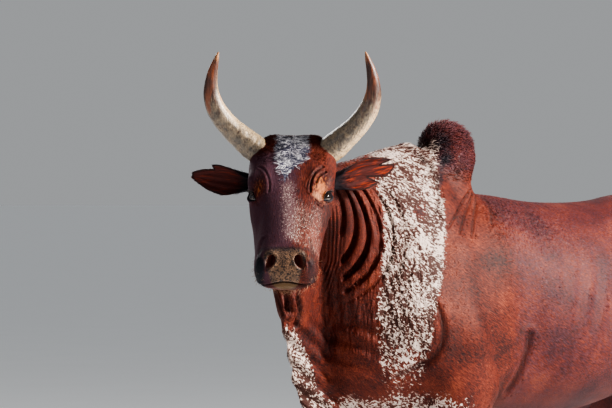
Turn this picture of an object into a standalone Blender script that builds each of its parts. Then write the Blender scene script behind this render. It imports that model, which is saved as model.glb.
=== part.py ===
"""A zebu bull as a still, life-size model, standing with its head turned to its left.

Metres, +Z up. The bull faces -Y and its left side is +X. Lofted masses are fused by a voxel remesh and rounded,
muscles and skin folds are swelled on them, and the whole is parted into the pieces that a person would name.
Y counts rearwards from the withers until the last step, which puts the origin between the feet.
"""

import math
import random

import bmesh
import bpy
import numpy as np
from mathutils import Vector

# The clearance between pieces that touch, and the distance that makes two points one
GAP = 0.0003
WELD = 0.00005

# Main heights and places
BACK = 1.230
HUMP_TOP = 1.44
POLL = Vector((0.096, -0.640, 1.398))
HEAD_YAW = math.radians(44.5)
HEAD_PITCH = math.radians(41)
FOOT_X = 0.13

# How finely the flesh is fused and how far its creases are rounded, then the edges of its triangles
VOXEL = 0.0065
ROUNDING_PASSES = 34
ROUNDING_WEIGHT = 0.6
HEAD_EDGE = 0.0200
NECK_EDGE = 0.034
BODY_EDGE = 0.054
EQUILATERAL = math.sqrt(3) / 4

# Eyes, in the head frame: across from the midline, along the face from the poll, up from the face line
EYE_PLACE = Vector((0.0905, 0.205, -0.044))
EYE_OUTWARD = Vector((0.76, 0.28, 0.58)).normalized()
EYE_RADIUS = 0.0195
LID_RADIUS = 0.0245
EYE_SLANT = 0.27
EYE_SLIT = (0.0175, 0.0105, 0.0130)

# The muzzle. The corner of the mouth is along and up; the line of the lips is level at the front.
MOUTH_CORNER = (0.385, -0.115)
MOUTH_FRONT = -0.068
MOUTH_LENGTH = 0.126
MOUTH_HALF_WIDTH = 0.076
MOUTH_REACH = 0.025
MOUTH_DEPTH = 0.010
LIP_GAP = 0.0014
NOSTRIL = Vector((0.0405, 0.482, -0.025))
NOSTRIL_RADII = (0.0165, 0.0105, 0.0155)


def head_axes():
    """The head's across, along and up directions in the model, and its level forward direction."""
    level = Vector((math.sin(HEAD_YAW), -math.cos(HEAD_YAW), 0))
    along = level * math.cos(HEAD_PITCH) - Vector((0, 0, 1)) * math.sin(HEAD_PITCH)
    up = level * math.sin(HEAD_PITCH) + Vector((0, 0, 1)) * math.cos(HEAD_PITCH)
    return along.cross(up).normalized() * -1, along, up, level


ACROSS, ALONG, UP, LEVEL = head_axes()


def from_head(across, along, up):
    """A point given in the head frame."""
    return POLL + ACROSS * across + ALONG * along + UP * up


def from_poll(across, forward, up):
    """A point given level with the ground from the poll."""
    return POLL + ACROSS * across + LEVEL * forward + Vector((0, 0, up))


# Sections. Each row is one section of a loft: its crest, its keel, half its width, how far up from the keel it is
# widest, and how square its upper and its lower half are.
def upright(y, crest, keel, half, level=0.5, square_up=2.0, square_down=2.0, x=0.0):
    """A section of the trunk, in an upright plane across the body."""
    return (x, y, crest, x, y, keel, half, level, square_up, square_down)


def slanted(crest, keel, half, level=0.5, square_up=2.0, square_down=2.0):
    """A section between any two points."""
    return (*crest, *keel, half, level, square_up, square_down)


def level_section(z, x, y, half, fore, aft, square=2.2):
    """A section of a limb, level with the ground."""
    return (x, y - fore, z, x, y + aft, z, half, aft / (fore + aft), square, square)


def trunk():
    return [
        upright(-0.450, 0.980, 0.740, 0.060, 0.55),
        upright(-0.405, 1.080, 0.680, 0.125, 0.52),
        upright(-0.310, 1.160, 0.640, 0.185, 0.50),
        upright(-0.180, 1.220, 0.612, 0.216, 0.50),
        upright(-0.020, BACK + 0.015, 0.600, 0.228, 0.48, 1.9, 2.1),
        upright(0.150, BACK + 0.018, 0.598, 0.242, 0.47, 1.9, 2.1),
        upright(0.320, BACK - 0.002, 0.602, 0.268, 0.45, 1.9, 2.1),
        upright(0.480, BACK - 0.006, 0.616, 0.278, 0.45, 1.9, 2.1),
        upright(0.620, BACK + 0.002, 0.648, 0.262, 0.46, 2.0, 2.1),
        upright(0.740, BACK + 0.020, 0.690, 0.240, 0.50, 2.2, 2.1),
        upright(0.850, BACK + 0.014, 0.740, 0.215, 0.52, 2.2, 2.1),
        upright(0.940, BACK - 0.020, 0.810, 0.170, 0.52, 2.2, 2.0),
        upright(0.995, BACK - 0.075, 0.900, 0.100, 0.52),
    ]


def neck():
    return [
        slanted((0, 0.06, 1.230), (0, -0.22, 0.600), 0.200, 0.45),
        slanted((0, -0.09, 1.378), (0, -0.38, 0.720), 0.185, 0.42, 1.7, 2.0),
        slanted((0.002, -0.21, 1.378), (0.008, -0.45, 0.850), 0.165, 0.42, 1.7, 2.0),
        slanted((0.012, -0.33, 1.345), (0.020, -0.505, 0.970), 0.143, 0.45, 1.8, 2.0),
        slanted((0.034, -0.44, 1.328), (0.036, -0.545, 1.060), 0.124, 0.48, 1.9, 2.0),
        slanted((0.064, -0.550, 1.345), (0.054, -0.580, 1.125), 0.110, 0.50),
        slanted((0.090, -0.612, 1.360), (0.082, -0.630, 1.170), 0.092, 0.50),
    ]


def hump():
    """The hump leans back over the withers and overhangs the back a little."""
    return [
        level_section(1.100, 0, -0.015, 0.120, 0.190, 0.200),
        level_section(1.200, 0, -0.015, 0.102, 0.160, 0.150),
        level_section(1.250, 0, -0.012, 0.088, 0.118, 0.112),
        level_section(1.287, 0, 0.004, 0.076, 0.098, 0.092),
        level_section(1.320, 0, 0.020, 0.071, 0.098, 0.096),
        level_section(1.351, 0, 0.027, 0.069, 0.098, 0.096),
        level_section(1.388, 0, 0.018, 0.063, 0.085, 0.086),
        level_section(1.415, 0, 0.018, 0.049, 0.058, 0.060),
        level_section(1.432, 0, 0.015, 0.031, 0.034, 0.036),
        level_section(HUMP_TOP, 0, 0.012, 0.014, 0.016, 0.016),
    ]


def stepped(rows, side, step, pivot):
    """A leg's sections on one side, swung fore or aft from its pivot's height."""
    sections = []
    for z, x, y, *reach in rows:
        bulk = 1 + LEG_BULK * min(1, z / BULK_HEIGHT)
        place = side * x, y + step * max(0, 1 - z / pivot)
        sections.append(level_section(z, *place, *[bulk * size for size in reach]))
    return sections


FORELEG = (
    (1.14, 0.095, -0.050, 0.045, 0.080, 0.090),
    (1.02, 0.120, -0.090, 0.075, 0.130, 0.130),
    (0.90, 0.142, -0.130, 0.085, 0.155, 0.150),
    (0.78, 0.148, -0.105, 0.080, 0.135, 0.140),
    (0.68, 0.146, -0.070, 0.068, 0.095, 0.118),
    (0.58, 0.140, -0.062, 0.053, 0.068, 0.074),
    (0.48, FOOT_X + 0.005, -0.064, 0.042, 0.050, 0.054),
    (0.40, FOOT_X, -0.070, 0.038, 0.042, 0.042),
    (0.355, FOOT_X, -0.074, 0.042, 0.044, 0.040),
    (0.310, FOOT_X, -0.069, 0.034, 0.036, 0.036),
    (0.250, FOOT_X, -0.066, 0.027, 0.029, 0.033),
    (0.175, FOOT_X, -0.066, 0.027, 0.030, 0.034),
    (0.135, FOOT_X, -0.070, 0.034, 0.037, 0.044),
    (0.095, FOOT_X, -0.082, 0.035, 0.037, 0.040),
    (0.050, FOOT_X, -0.095, 0.041, 0.047, 0.048),
    (0.020, FOOT_X, -0.100, 0.041, 0.050, 0.050),
)
HINDLEG = (
    (1.14, 0.095, 0.800, 0.060, 0.130, 0.100),
    (1.02, 0.118, 0.795, 0.085, 0.175, 0.150),
    (0.90, 0.136, 0.780, 0.090, 0.185, 0.165),
    (0.79, 0.146, 0.765, 0.084, 0.165, 0.150),
    (0.69, 0.148, 0.790, 0.067, 0.130, 0.112),
    (0.60, 0.146, 0.835, 0.050, 0.088, 0.078),
    (0.52, 0.142, 0.878, 0.038, 0.058, 0.060),
    (0.470, 0.140, 0.902, 0.036, 0.050, 0.058),
    (0.425, 0.138, 0.905, 0.037, 0.047, 0.045),
    (0.360, 0.136, 0.900, 0.030, 0.036, 0.036),
    (0.270, 0.134, 0.892, 0.027, 0.030, 0.034),
    (0.175, 0.134, 0.884, 0.027, 0.030, 0.036),
    (0.135, 0.134, 0.876, 0.034, 0.037, 0.045),
    (0.095, 0.134, 0.862, 0.035, 0.037, 0.040),
    (0.050, 0.134, 0.848, 0.040, 0.046, 0.047),
    (0.020, 0.134, 0.843, 0.040, 0.048, 0.048),
)
FORE_PIVOT = 0.75
HIND_PIVOT = 0.80
LEG_BULK = 0.10
BULK_HEIGHT = 0.20
LEGS = {
    "leg_front_left": (FORELEG, 1, -0.045, FORE_PIVOT),
    "leg_front_right": (FORELEG, -1, 0.035, FORE_PIVOT),
    "leg_hind_left": (HINDLEG, 1, 0.050, HIND_PIVOT),
    "leg_hind_right": (HINDLEG, -1, -0.055, HIND_PIVOT),
}

SKULL = (
    # along, crest, keel, half width, widest level, squareness above and below
    (-0.050, -0.050, -0.150, 0.055, 0.60, 2.2, 2.0),
    (-0.020, -0.014, -0.180, 0.092, 0.66, 2.5, 1.9),
    (0.020, 0.000, -0.205, 0.112, 0.72, 2.8, 1.8),
    (0.070, 0.008, -0.238, 0.119, 0.75, 2.8, 1.7),
    (0.130, 0.010, -0.250, 0.119, 0.76, 2.7, 1.7),
    (0.185, 0.006, -0.245, 0.114, 0.74, 2.4, 1.7),
    (0.235, 0.001, -0.225, 0.105, 0.68, 2.3, 1.75),
    (0.285, -0.001, -0.200, 0.099, 0.64, 2.3, 1.8),
    (0.345, -0.002, -0.170, 0.093, 0.59, 2.4, 1.9),
    (0.400, -0.004, -0.148, 0.087, 0.53, 2.5, 2.1),
    (0.445, -0.008, -0.135, 0.084, 0.50, 2.6, 2.4),
    (0.480, -0.017, -0.123, 0.081, 0.50, 2.6, 2.4),
    (0.503, -0.032, -0.108, 0.064, 0.50, 2.5, 2.4),
    (0.515, -0.054, -0.096, 0.034, 0.50, 2.2, 2.2),
)


def skull():
    return [
        slanted(from_head(0, along, crest), from_head(0, along, keel), *shape)
        for along, crest, keel, *shape in SKULL
    ]


def dewlap():
    """The hanging skin, from under the jaw down the neck to between the forelegs."""
    return [
        slanted(from_head(0, 0.345, -0.110), from_head(0, 0.345, -0.182), 0.046, 0.70, 2.2, 1.6),
        slanted(from_head(0, 0.250, -0.140), from_head(0, 0.285, -0.260), 0.064, 0.75, 2.0, 1.4),
        slanted((0.060, -0.600, 1.120), (0.104, -0.690, 0.925), 0.070, 0.80, 2.0, 1.3),
        slanted((0.045, -0.530, 1.060), (0.075, -0.655, 0.860), 0.046, 0.75, 2.0, 1.5),
        slanted((0.020, -0.460, 0.960), (0.036, -0.602, 0.785), 0.028, 0.60, 2.0, 1.7),
        slanted((0.006, -0.400, 0.850), (0.012, -0.556, 0.695), 0.022),
        slanted((0, -0.330, 0.770), (0, -0.470, 0.612), 0.026),
        slanted((0, -0.250, 0.700), (0, -0.330, 0.548), 0.030),
        slanted((0, -0.100, 0.660), (0, -0.140, 0.520), 0.028),
        slanted((0, 0.030, 0.640), (0, 0.030, 0.548), 0.024),
        slanted((0, 0.130, 0.650), (0, 0.140, 0.606), 0.016),
    ]


def sheath():
    """The fold of skin under the belly, with the navel flap."""
    return [
        slanted((0, 0.270, 0.620), (0, 0.250, 0.530), 0.020),
        slanted((0, 0.350, 0.620), (0, 0.330, 0.490), 0.026),
        slanted((0, 0.430, 0.620), (0, 0.420, 0.478), 0.026),
        slanted((0, 0.520, 0.640), (0, 0.510, 0.510), 0.022),
        slanted((0, 0.600, 0.660), (0, 0.600, 0.560), 0.018),
    ]


def scrotum():
    return [
        level_section(0.740, 0, 0.800, 0.060, 0.060, 0.060),
        level_section(0.660, 0, 0.800, 0.030, 0.034, 0.034),
        level_section(0.600, 0, 0.805, 0.038, 0.042, 0.042),
        level_section(0.550, 0, 0.810, 0.044, 0.048, 0.048),
        level_section(0.510, 0, 0.812, 0.038, 0.042, 0.042),
        level_section(0.490, 0, 0.812, 0.018, 0.020, 0.020),
    ]


def lid_dome(side):
    """The round of the lids over one eye."""
    rows = []
    for k in range(-4, 5):
        turn = math.radians(20 * k)
        place = eye_centre(side) + ALONG * LID_RADIUS * math.sin(turn)
        radius = LID_RADIUS * math.cos(turn)
        rows.append(slanted(place + UP * radius, place - UP * radius, radius))
    return rows


# Swellings and hollows of the head: across, along and up in the head frame, then their reach each way and height
HEAD_FORMS = (
    # poll ridge and the bosses under the horns
    (0.000, -0.004, 0.000, 0.070, 0.030, 0.030, 0.006),
    (0.092, 0.020, -0.030, 0.030, 0.035, 0.035, 0.008),
    # brow over the eye, the arch in front of it and the dished forehead
    (0.100, 0.160, -0.020, 0.022, 0.034, 0.024, 0.010),
    (0.066, 0.175, 0.004, 0.014, 0.050, 0.020, 0.005),
    (0.000, 0.185, 0.008, 0.045, 0.075, 0.030, -0.006),
    # the hollow behind the brow, in front of the ear
    (0.118, 0.125, -0.085, 0.025, 0.030, 0.030, -0.007),
    # cheekbone, the hollow below it and the hollow over it beside the nose
    (0.100, 0.240, -0.075, 0.022, 0.055, 0.018, 0.005),
    (0.085, 0.320, -0.030, 0.022, 0.060, 0.022, -0.006),
    (0.078, 0.310, -0.130, 0.030, 0.050, 0.025, -0.008),
    # chewing muscle
    (0.090, 0.140, -0.175, 0.035, 0.060, 0.050, 0.008),
    # nose bridge, upper lip, chin
    (0.000, 0.340, 0.000, 0.030, 0.110, 0.025, 0.004),
    (0.056, 0.450, -0.080, 0.030, 0.035, 0.025, 0.006),
    (0.000, 0.450, -0.140, 0.040, 0.040, 0.022, 0.006),
    # rims of the nostrils
    (0.064, 0.466, -0.035, 0.014, 0.022, 0.020, 0.007),
    (0.042, 0.452, -0.008, 0.020, 0.016, 0.014, 0.005),
)

# Swellings and hollows of the body, on both sides: place, reach each way and height
BODY_FORMS = (
    # shoulder: blade, point, upper arm, elbow, and the hollow behind it
    (0.165, -0.090, 1.060, 0.050, 0.060, 0.120, 0.012),
    (0.190, -0.280, 0.880, 0.060, 0.060, 0.070, 0.020),
    (0.225, -0.080, 0.850, 0.060, 0.070, 0.090, 0.016),
    (0.215, 0.030, 0.700, 0.050, 0.040, 0.050, 0.012),
    (0.235, 0.120, 0.900, 0.060, 0.060, 0.150, -0.014),
    # flank hollow, hook bone, pin bone and the dip between
    (0.220, 0.590, 1.120, 0.080, 0.080, 0.060, -0.022),
    (0.190, 0.700, 1.190, 0.050, 0.050, 0.040, 0.020),
    (0.080, 0.965, 1.110, 0.040, 0.040, 0.040, 0.016),
    (0.160, 0.850, 1.190, 0.060, 0.060, 0.050, -0.014),
    # thigh, its hamstring groove and the fold of the flank
    (0.225, 0.800, 0.930, 0.070, 0.100, 0.100, 0.014),
    (0.200, 0.610, 0.780, 0.070, 0.040, 0.060, -0.012),
    # belly
    (0.240, 0.400, 0.780, 0.090, 0.160, 0.100, 0.012),
    # forearm and gaskin muscles, knee and hock
    (0.180, -0.095, 0.600, 0.030, 0.040, 0.050, 0.007),
    (0.190, 0.800, 0.660, 0.040, 0.050, 0.060, 0.008),
)

# Folds of the neck
FOLD_SPACING = 0.047
FOLD_START = 0.0165
FOLD_HEIGHT = 0.014
FOLD_MIDDLE = 1.15
FOLD_BOW = 3.0


def smooth_rows(rows, per_span):
    """More rows on a smooth curve through the given ones."""
    rows = np.array(rows, float)
    padded = np.vstack([2 * rows[0] - rows[1], rows, 2 * rows[-1] - rows[-2]])
    found = []
    for i in range(len(rows) - 1):
        before, start, end, after = padded[i : i + 4]
        for k in range(per_span):
            t = k / per_span
            found.append(
                0.5
                * (
                    2 * start
                    + (end - before) * t
                    + (2 * before - 5 * start + 4 * end - after) * t**2
                    + (3 * start - before - 3 * end + after) * t**3
                )
            )
    return np.vstack([found, rows[-1:]])


def signed_power(values, power):
    return np.sign(values) * np.abs(values) ** power


def loft(rows, sides=32, per_span=4):
    """Points and faces of a closed loft through the sections."""
    rows = smooth_rows(rows, per_span)
    crest, keel = rows[:, 0:3], rows[:, 3:6]
    half, level, square_up, square_down = rows[:, 6:10].T
    middle = (crest + keel) / 2
    across = np.cross(np.gradient(middle, axis=0), crest - keel)
    across /= np.linalg.norm(across, axis=1)[:, None]
    centre = keel + level[:, None] * (crest - keel)
    rings = []
    for k in range(sides):
        angle = 2 * math.pi * k / sides
        upper = math.sin(angle) >= 0
        power = 2 / (square_up if upper else square_down)
        reach = (crest if upper else keel) - centre
        out = signed_power(math.cos(angle), power) * half
        rise = abs(math.sin(angle)) ** power
        rings.append(centre + across * out[:, None] + reach * rise[:, None])
    points = np.stack(rings, axis=1).reshape(-1, 3)
    faces = []
    for i in range(len(rows) - 1):
        for k in range(sides):
            here, beside = i * sides + k, i * sides + (k + 1) % sides
            faces.append((here, beside, beside + sides, here + sides))
    last = (len(rows) - 1) * sides
    faces.append(tuple(range(sides)))
    faces.append(tuple(range(last + sides - 1, last - 1, -1)))
    return points, faces


def mesh_object(name, points, faces):
    """A mesh object whose faces point out."""
    mesh = bpy.data.meshes.new(name)
    mesh.from_pydata([tuple(p) for p in points], [], faces)
    made = bpy.data.objects.new(name, mesh)
    bpy.context.scene.collection.objects.link(made)
    return face_out(made)


def remove(thing):
    bpy.data.objects.remove(thing, do_unlink=True)


def apply_modifiers(thing):
    """Gives the object its evaluated mesh."""
    bpy.context.view_layer.update()
    graph = bpy.context.evaluated_depsgraph_get()
    mesh = bpy.data.meshes.new_from_object(thing.evaluated_get(graph))
    thing.modifiers.clear()
    thing.data = mesh
    return thing


def boolean(thing, other, operation, solver="EXACT"):
    """Cuts or joins other, which is then removed."""
    modifier = thing.modifiers.new(operation.lower(), "BOOLEAN")
    modifier.operation = operation
    modifier.solver = solver
    modifier.object = other
    apply_modifiers(thing)
    remove(other)
    return thing


def coordinates(mesh):
    values = np.empty(len(mesh.vertices) * 3, np.float32)
    mesh.vertices.foreach_get("co", values)
    return values.reshape(-1, 3).astype(float)


def set_coordinates(mesh, points):
    mesh.vertices.foreach_set("co", points.astype(np.float32).ravel())
    mesh.update()


def normals(mesh):
    values = np.empty(len(mesh.vertices) * 3, np.float32)
    mesh.vertex_normals.foreach_get("vector", values)
    return values.reshape(-1, 3).astype(float)


def relax(mesh, passes, weight):
    """Evens out the creases between fused lofts, by each point's weight."""
    ends = np.empty(len(mesh.edges) * 2, np.int32)
    mesh.edges.foreach_get("vertices", ends)
    first, second = ends.reshape(-1, 2).T
    points = coordinates(mesh)
    count = np.bincount(ends, minlength=len(points))[:, None]
    for _ in range(passes):
        total = np.zeros_like(points)
        for axis in range(3):
            total[:, axis] = np.bincount(
                first, points[second, axis], len(points)
            ) + np.bincount(second, points[first, axis], len(points))
        points += weight[:, None] * (total / count - points)
    set_coordinates(mesh, points)


def ease(values, low, high):
    """0 below low, 1 above high and smooth between."""
    share = np.clip((values - low) / (high - low), 0, 1)
    return share * share * (3 - 2 * share)


def bump(offsets, reach):
    return np.exp(-((offsets / reach) ** 2).sum(axis=1))


def in_head(points):
    """Across, along and up in the head frame."""
    axes = np.array([ACROSS, ALONG, UP])
    return (points - np.array(POLL)) @ axes.T


def swell(points):
    """How far each point moves along its normal for the muscles, bones and folds."""
    height = np.zeros(len(points))
    head = in_head(points)
    head[:, 0] = np.abs(head[:, 0])
    near = np.linalg.norm(head - (0, 0.2, -0.1), axis=1) < 0.45
    for *place, a, b, c, rise in HEAD_FORMS:
        height += near * rise * bump(head - place, (a, b, c))
    body = points.copy()
    body[:, 0] = np.abs(body[:, 0])
    for *place, a, b, c, rise in BODY_FORMS:
        height += rise * bump(body - place, (a, b, c))
    return height + neck_folds(points)


def neck_folds(points):
    """Loose skin bunched in upright rolls behind the jaw, on the side that the head turns to."""
    x, y, z = points.T
    across, along_head, _ = in_head(points).T
    phase = (y + FOLD_START + FOLD_BOW * (z - FOLD_MIDDLE) ** 2) / FOLD_SPACING
    roll = np.abs(np.cos(math.pi * phase)) ** 0.7 - 0.6
    behind_jaw = np.maximum(ease(-along_head, -0.12, -0.05), ease(across, 0.121, 0.134))
    along = ease(y, -0.62, -0.55) * (1 - ease(y, -0.34, -0.20))
    tall = ease(z, 0.84, 0.97) * (1 - ease(z, 1.22, 1.31))
    side = 0.3 + 0.7 * ease(x, 0.02, 0.09)
    return FOLD_HEIGHT * roll * along * tall * side * behind_jaw


def fuse(name, lofts):
    """One rounded skin round all the lofts."""
    points, faces, start = [], [], 0
    for rows in lofts:
        more, rings = loft(rows)
        points.append(more)
        faces += [tuple(start + i for i in face) for face in rings]
        start += len(more)
    whole = mesh_object(name, np.vstack(points), faces)
    remesh = whole.modifiers.new("fuse", "REMESH")
    remesh.mode = "VOXEL"
    remesh.voxel_size = VOXEL
    apply_modifiers(whole)
    mesh = whole.data
    points = coordinates(mesh)
    dewlap_edge = ease(-points[:, 1], 0.40, 0.50) * (1 - ease(points[:, 2], 1.0, 1.1))
    on_head = ease(in_head(points)[:, 1], 0.0, 0.08)
    shanks = 1 - ease(points[:, 2], 0.35, 0.55)
    keep = np.maximum.reduce([dewlap_edge, 0.9 * on_head, 0.8 * shanks])
    relax(mesh, ROUNDING_PASSES, ROUNDING_WEIGHT * (1 - 0.95 * keep))
    points = coordinates(mesh)
    set_coordinates(mesh, points + normals(mesh) * swell(points)[:, None])
    return whole


def coarser(flesh, name, edge):
    """A copy in triangles of about that edge."""
    made = duplicate(flesh, name)
    area = sum(face.area for face in made.data.polygons)
    fewer = made.modifiers.new("fewer", "DECIMATE")
    fewer.ratio = area / (EQUILATERAL * edge**2) / (2 * len(made.data.polygons))
    fewer.use_collapse_triangulate = True
    return apply_modifiers(made)


# Small tools for solids
def duplicate(thing, name):
    made = bpy.data.objects.new(name, thing.data.copy())
    bpy.context.scene.collection.objects.link(made)
    return made


def grow(thing, by=GAP):
    """Moves every face that far out."""
    shell = bmesh.new()
    shell.from_mesh(thing.data)
    moves = [vert.normal * by * vert.calc_shell_factor() for vert in shell.verts]
    for vert, move in zip(shell.verts, moves):
        vert.co += move
    shell.to_mesh(thing.data)
    shell.free()
    return thing


def keep_largest(thing):
    """Drops every loose scrap and every sealed hollow."""
    shell = bmesh.new()
    shell.from_mesh(thing.data)
    left, parts = set(shell.verts), []
    while left:
        seed = left.pop()
        found, front = [seed], [seed]
        while front:
            for link in front.pop().link_edges:
                for vert in link.verts:
                    if vert in left:
                        left.remove(vert)
                        found.append(vert)
                        front.append(vert)
        parts.append(found)
    parts.sort(key=len)
    bmesh.ops.delete(shell, geom=[vert for part in parts[:-1] for vert in part], context="VERTS")
    shell.to_mesh(thing.data)
    shell.free()
    return thing


def carve(whole, name, region):
    """Parts the flesh inside the region from the whole."""
    piece = duplicate(whole, name)
    wider = grow(duplicate(region, "wider"))
    boolean(piece, region, "INTERSECT")
    boolean(whole, wider, "DIFFERENCE")
    keep_largest(whole)
    return keep_largest(piece)


def seat(host, piece, by=GAP):
    """Cuts a seat for the piece in its host, with a clearance all round."""
    boolean(host, grow(duplicate(piece, "seat"), by), "DIFFERENCE")
    return keep_largest(host)


def gather(name, things):
    """Moves the things into a collection of their own."""
    group = bpy.data.collections.new(name)
    bpy.context.scene.collection.children.link(group)
    for thing in things:
        for old in list(thing.users_collection):
            old.objects.unlink(thing)
        group.objects.link(thing)
    return group


def join(base, pieces):
    """Fuses closed pieces into the base."""
    group = gather(base.name + "_pieces", pieces)
    union = base.modifiers.new("join", "BOOLEAN")
    union.operation = "UNION"
    union.operand_type = "COLLECTION"
    union.solver = "MANIFOLD"
    union.collection = group
    apply_modifiers(base)
    for piece in pieces:
        remove(piece)
    bpy.data.collections.remove(group)
    return keep_largest(base)


def face_out(thing):
    shell = bmesh.new()
    shell.from_mesh(thing.data)
    bmesh.ops.recalc_face_normals(shell, faces=shell.faces)
    shell.to_mesh(thing.data)
    shell.free()
    return thing


def placed(made, origin, axes):
    """Gives a mesh built on X, Y and Z its place and its three axes."""
    turned = coordinates(made.data) @ np.array([tuple(axis) for axis in axes])
    set_coordinates(made.data, turned + np.array(origin))
    return face_out(made)


def primitive(name, add, **settings):
    add(**settings)
    made = bpy.context.object
    made.name = made.data.name = name
    return made


def block(name, origin, axes, reach):
    """A box that reaches between two places along each of three axes."""
    made = primitive(name, bpy.ops.mesh.primitive_cube_add, size=1)
    low, high = np.array(reach, float).T
    set_coordinates(made.data, low + (coordinates(made.data) + 0.5) * (high - low))
    return placed(made, origin, axes)


def ellipsoid(name, origin, axes, radii, segments=14, rings=10):
    """A sphere stretched along three axes."""
    add = bpy.ops.mesh.primitive_uv_sphere_add
    made = primitive(name, add, segments=segments, ring_count=rings, radius=1)
    set_coordinates(made.data, coordinates(made.data) * np.array(radii))
    return placed(made, origin, axes)


def prism(name, origin, axes, outline, start, end):
    """An outline along the first two axes, run along the third."""
    count = len(outline)
    points = [(a, b, c) for c in (start, end) for a, b in outline]
    sides = [(i, (i + 1) % count, count + (i + 1) % count, count + i) for i in range(count)]
    ends = [tuple(range(count)), tuple(range(2 * count - 1, count - 1, -1))]
    return placed(mesh_object(name, points, sides + ends), origin, axes)


def tapered_tube(name, path, radii, bevel_resolution=3, per_span=3):
    """A round tube along a smooth path, as thick at each point as its radius."""
    rows = [(*point, radius) for point, radius in zip(path, radii)]
    rows = smooth_rows(rows, per_span)
    curve = bpy.data.curves.new(name, "CURVE")
    curve.dimensions = "3D"
    curve.bevel_depth = 1
    curve.bevel_resolution = bevel_resolution
    curve.use_fill_caps = True
    spline = curve.splines.new("POLY")
    spline.points.add(len(rows) - 1)
    for point, (x, y, z, radius) in zip(spline.points, rows):
        point.co = (x, y, z, 1)
        point.radius = radius
    guide = bpy.data.objects.new(name + "_guide", curve)
    bpy.context.scene.collection.objects.link(guide)
    bpy.context.view_layer.update()
    graph = bpy.context.evaluated_depsgraph_get()
    mesh = bpy.data.meshes.new_from_object(guide.evaluated_get(graph))
    made = bpy.data.objects.new(name, mesh)
    bpy.context.scene.collection.objects.link(made)
    remove(guide)
    shell = bmesh.new()
    shell.from_mesh(mesh)
    bmesh.ops.remove_doubles(shell, verts=shell.verts, dist=WELD)
    shell.to_mesh(mesh)
    shell.free()
    return face_out(made)


def frame_from(outward, towards):
    """Three axes: towards as far as outward lets it, across both, and outward."""
    outward = outward.normalized()
    first = (towards - outward * towards.dot(outward)).normalized()
    return first, outward.cross(first), outward


# Eyes, lids, nostrils and mouth
def eye_centre(side):
    return from_head(side * EYE_PLACE.x, EYE_PLACE.y, EYE_PLACE.z)


def eye_axes(side):
    """Along the slit of the eye, across it, and out of the head."""
    out = ACROSS * side * EYE_OUTWARD.x + ALONG * EYE_OUTWARD.y + UP * EYE_OUTWARD.z
    return frame_from(out, LEVEL - Vector((0, 0, EYE_SLANT)))


def eyeball(side):
    name = "eye_left" if side > 0 else "eye_right"
    return ellipsoid(name, eye_centre(side), eye_axes(side), (EYE_RADIUS,) * 3)


def open_socket(head, side):
    """The hollow that holds the eyeball, and the slit between the lids over it."""
    axes = eye_axes(side)
    place = eye_centre(side) + axes[2] * LID_RADIUS
    hollow = join(grow(eyeball(side)), [ellipsoid("slit", place, axes, EYE_SLIT)])
    boolean(head, hollow, "DIFFERENCE")


def open_nostril(head, side):
    place = from_head(side * NOSTRIL.x, NOSTRIL.y, NOSTRIL.z)
    out = ACROSS * side * 0.55 + ALONG * 0.80 + UP * 0.30
    axes = frame_from(out, UP + ACROSS * side * 0.45)
    boolean(head, ellipsoid("nostril", place, axes, NOSTRIL_RADII, 12, 8), "DIFFERENCE")


def mouth_point(turn, deeper):
    """A point on the line of the lips, turn being 0 at the front and a right angle at each corner."""
    across = signed_power(math.sin(turn), 0.7) * (MOUTH_HALF_WIDTH - deeper)
    along = MOUTH_CORNER[0] + max(0, math.cos(turn)) ** 0.7 * (MOUTH_LENGTH - deeper)
    drop = abs(math.sin(turn)) ** 1.5
    return from_head(across, along, MOUTH_FRONT + (MOUTH_CORNER[1] - MOUTH_FRONT) * drop)


def part_lips(head):
    turns = [math.radians(-90 + 12 * k) for k in range(16)]
    rows = [
        slanted(mouth_point(turn, -MOUTH_REACH), mouth_point(turn, MOUTH_DEPTH), LIP_GAP)
        for turn in turns
    ]
    points, faces = loft(rows, sides=6, per_span=1)
    boolean(head, mesh_object("lips", points, faces), "DIFFERENCE")


# Horns
HORN_PATH = (
    # across, forward and up from the poll, then the radius
    (0.070, 0.008, -0.058, 0.0310),
    (0.106, 0.000, -0.032, 0.0372),
    (0.137, 0.008, -0.006, 0.0340),
    (0.173, 0.018, 0.027, 0.0300),
    (0.203, 0.030, 0.067, 0.0272),
    (0.217, 0.040, 0.105, 0.0230),
    (0.219, 0.047, 0.138, 0.0182),
    (0.214, 0.053, 0.172, 0.0138),
    (0.205, 0.058, 0.204, 0.0080),
    (0.198, 0.060, 0.226, 0.0018),
)


def horn(side):
    name = "horn_left" if side > 0 else "horn_right"
    path = [from_poll(side * across, forward, up) for across, forward, up, _ in HORN_PATH]
    return tapered_tube(name, path, [row[3] for row in HORN_PATH], 3, 2)


# Ears
EAR_ROOT = (0.098, 0.088, -0.092)
EAR_LENGTH = 0.200
EAR_THICKNESS = 0.0036
EAR_STEPS = 4
EAR_CURL = 0.010
EAR_SECTIONS = (
    # share of the length, radius of the cup and half its opening angle
    (0.00, 0.019, 150),
    (0.14, 0.023, 128),
    (0.28, 0.030, 100),
    (0.44, 0.040, 77),
    (0.58, 0.046, 61),
    (0.72, 0.047, 49),
    (0.84, 0.047, 35),
    (0.93, 0.047, 23),
    (1.00, 0.047, 9),
)
# The closed root of the ear: along it, then its radius
EAR_STALK = (
    (-0.030, 0.0180),
    (-0.012, 0.0225),
    (0.008, 0.0238),
    (0.022, 0.0225),
    (0.034, 0.0130),
    (0.041, 0.0040),
)
# The hollow of the head that the root sits in
EAR_SEAT = (
    (-0.030, 0.0180),
    (-0.012, 0.0225),
    (0.008, 0.0238),
    (0.020, 0.0255),
    (0.034, 0.0300),
    (0.056, 0.0390),
)
EAR_AIM = {1: Vector((0.172, -0.080, 0.050)), -1: Vector((-0.180, -0.070, 0.020))}
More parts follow.
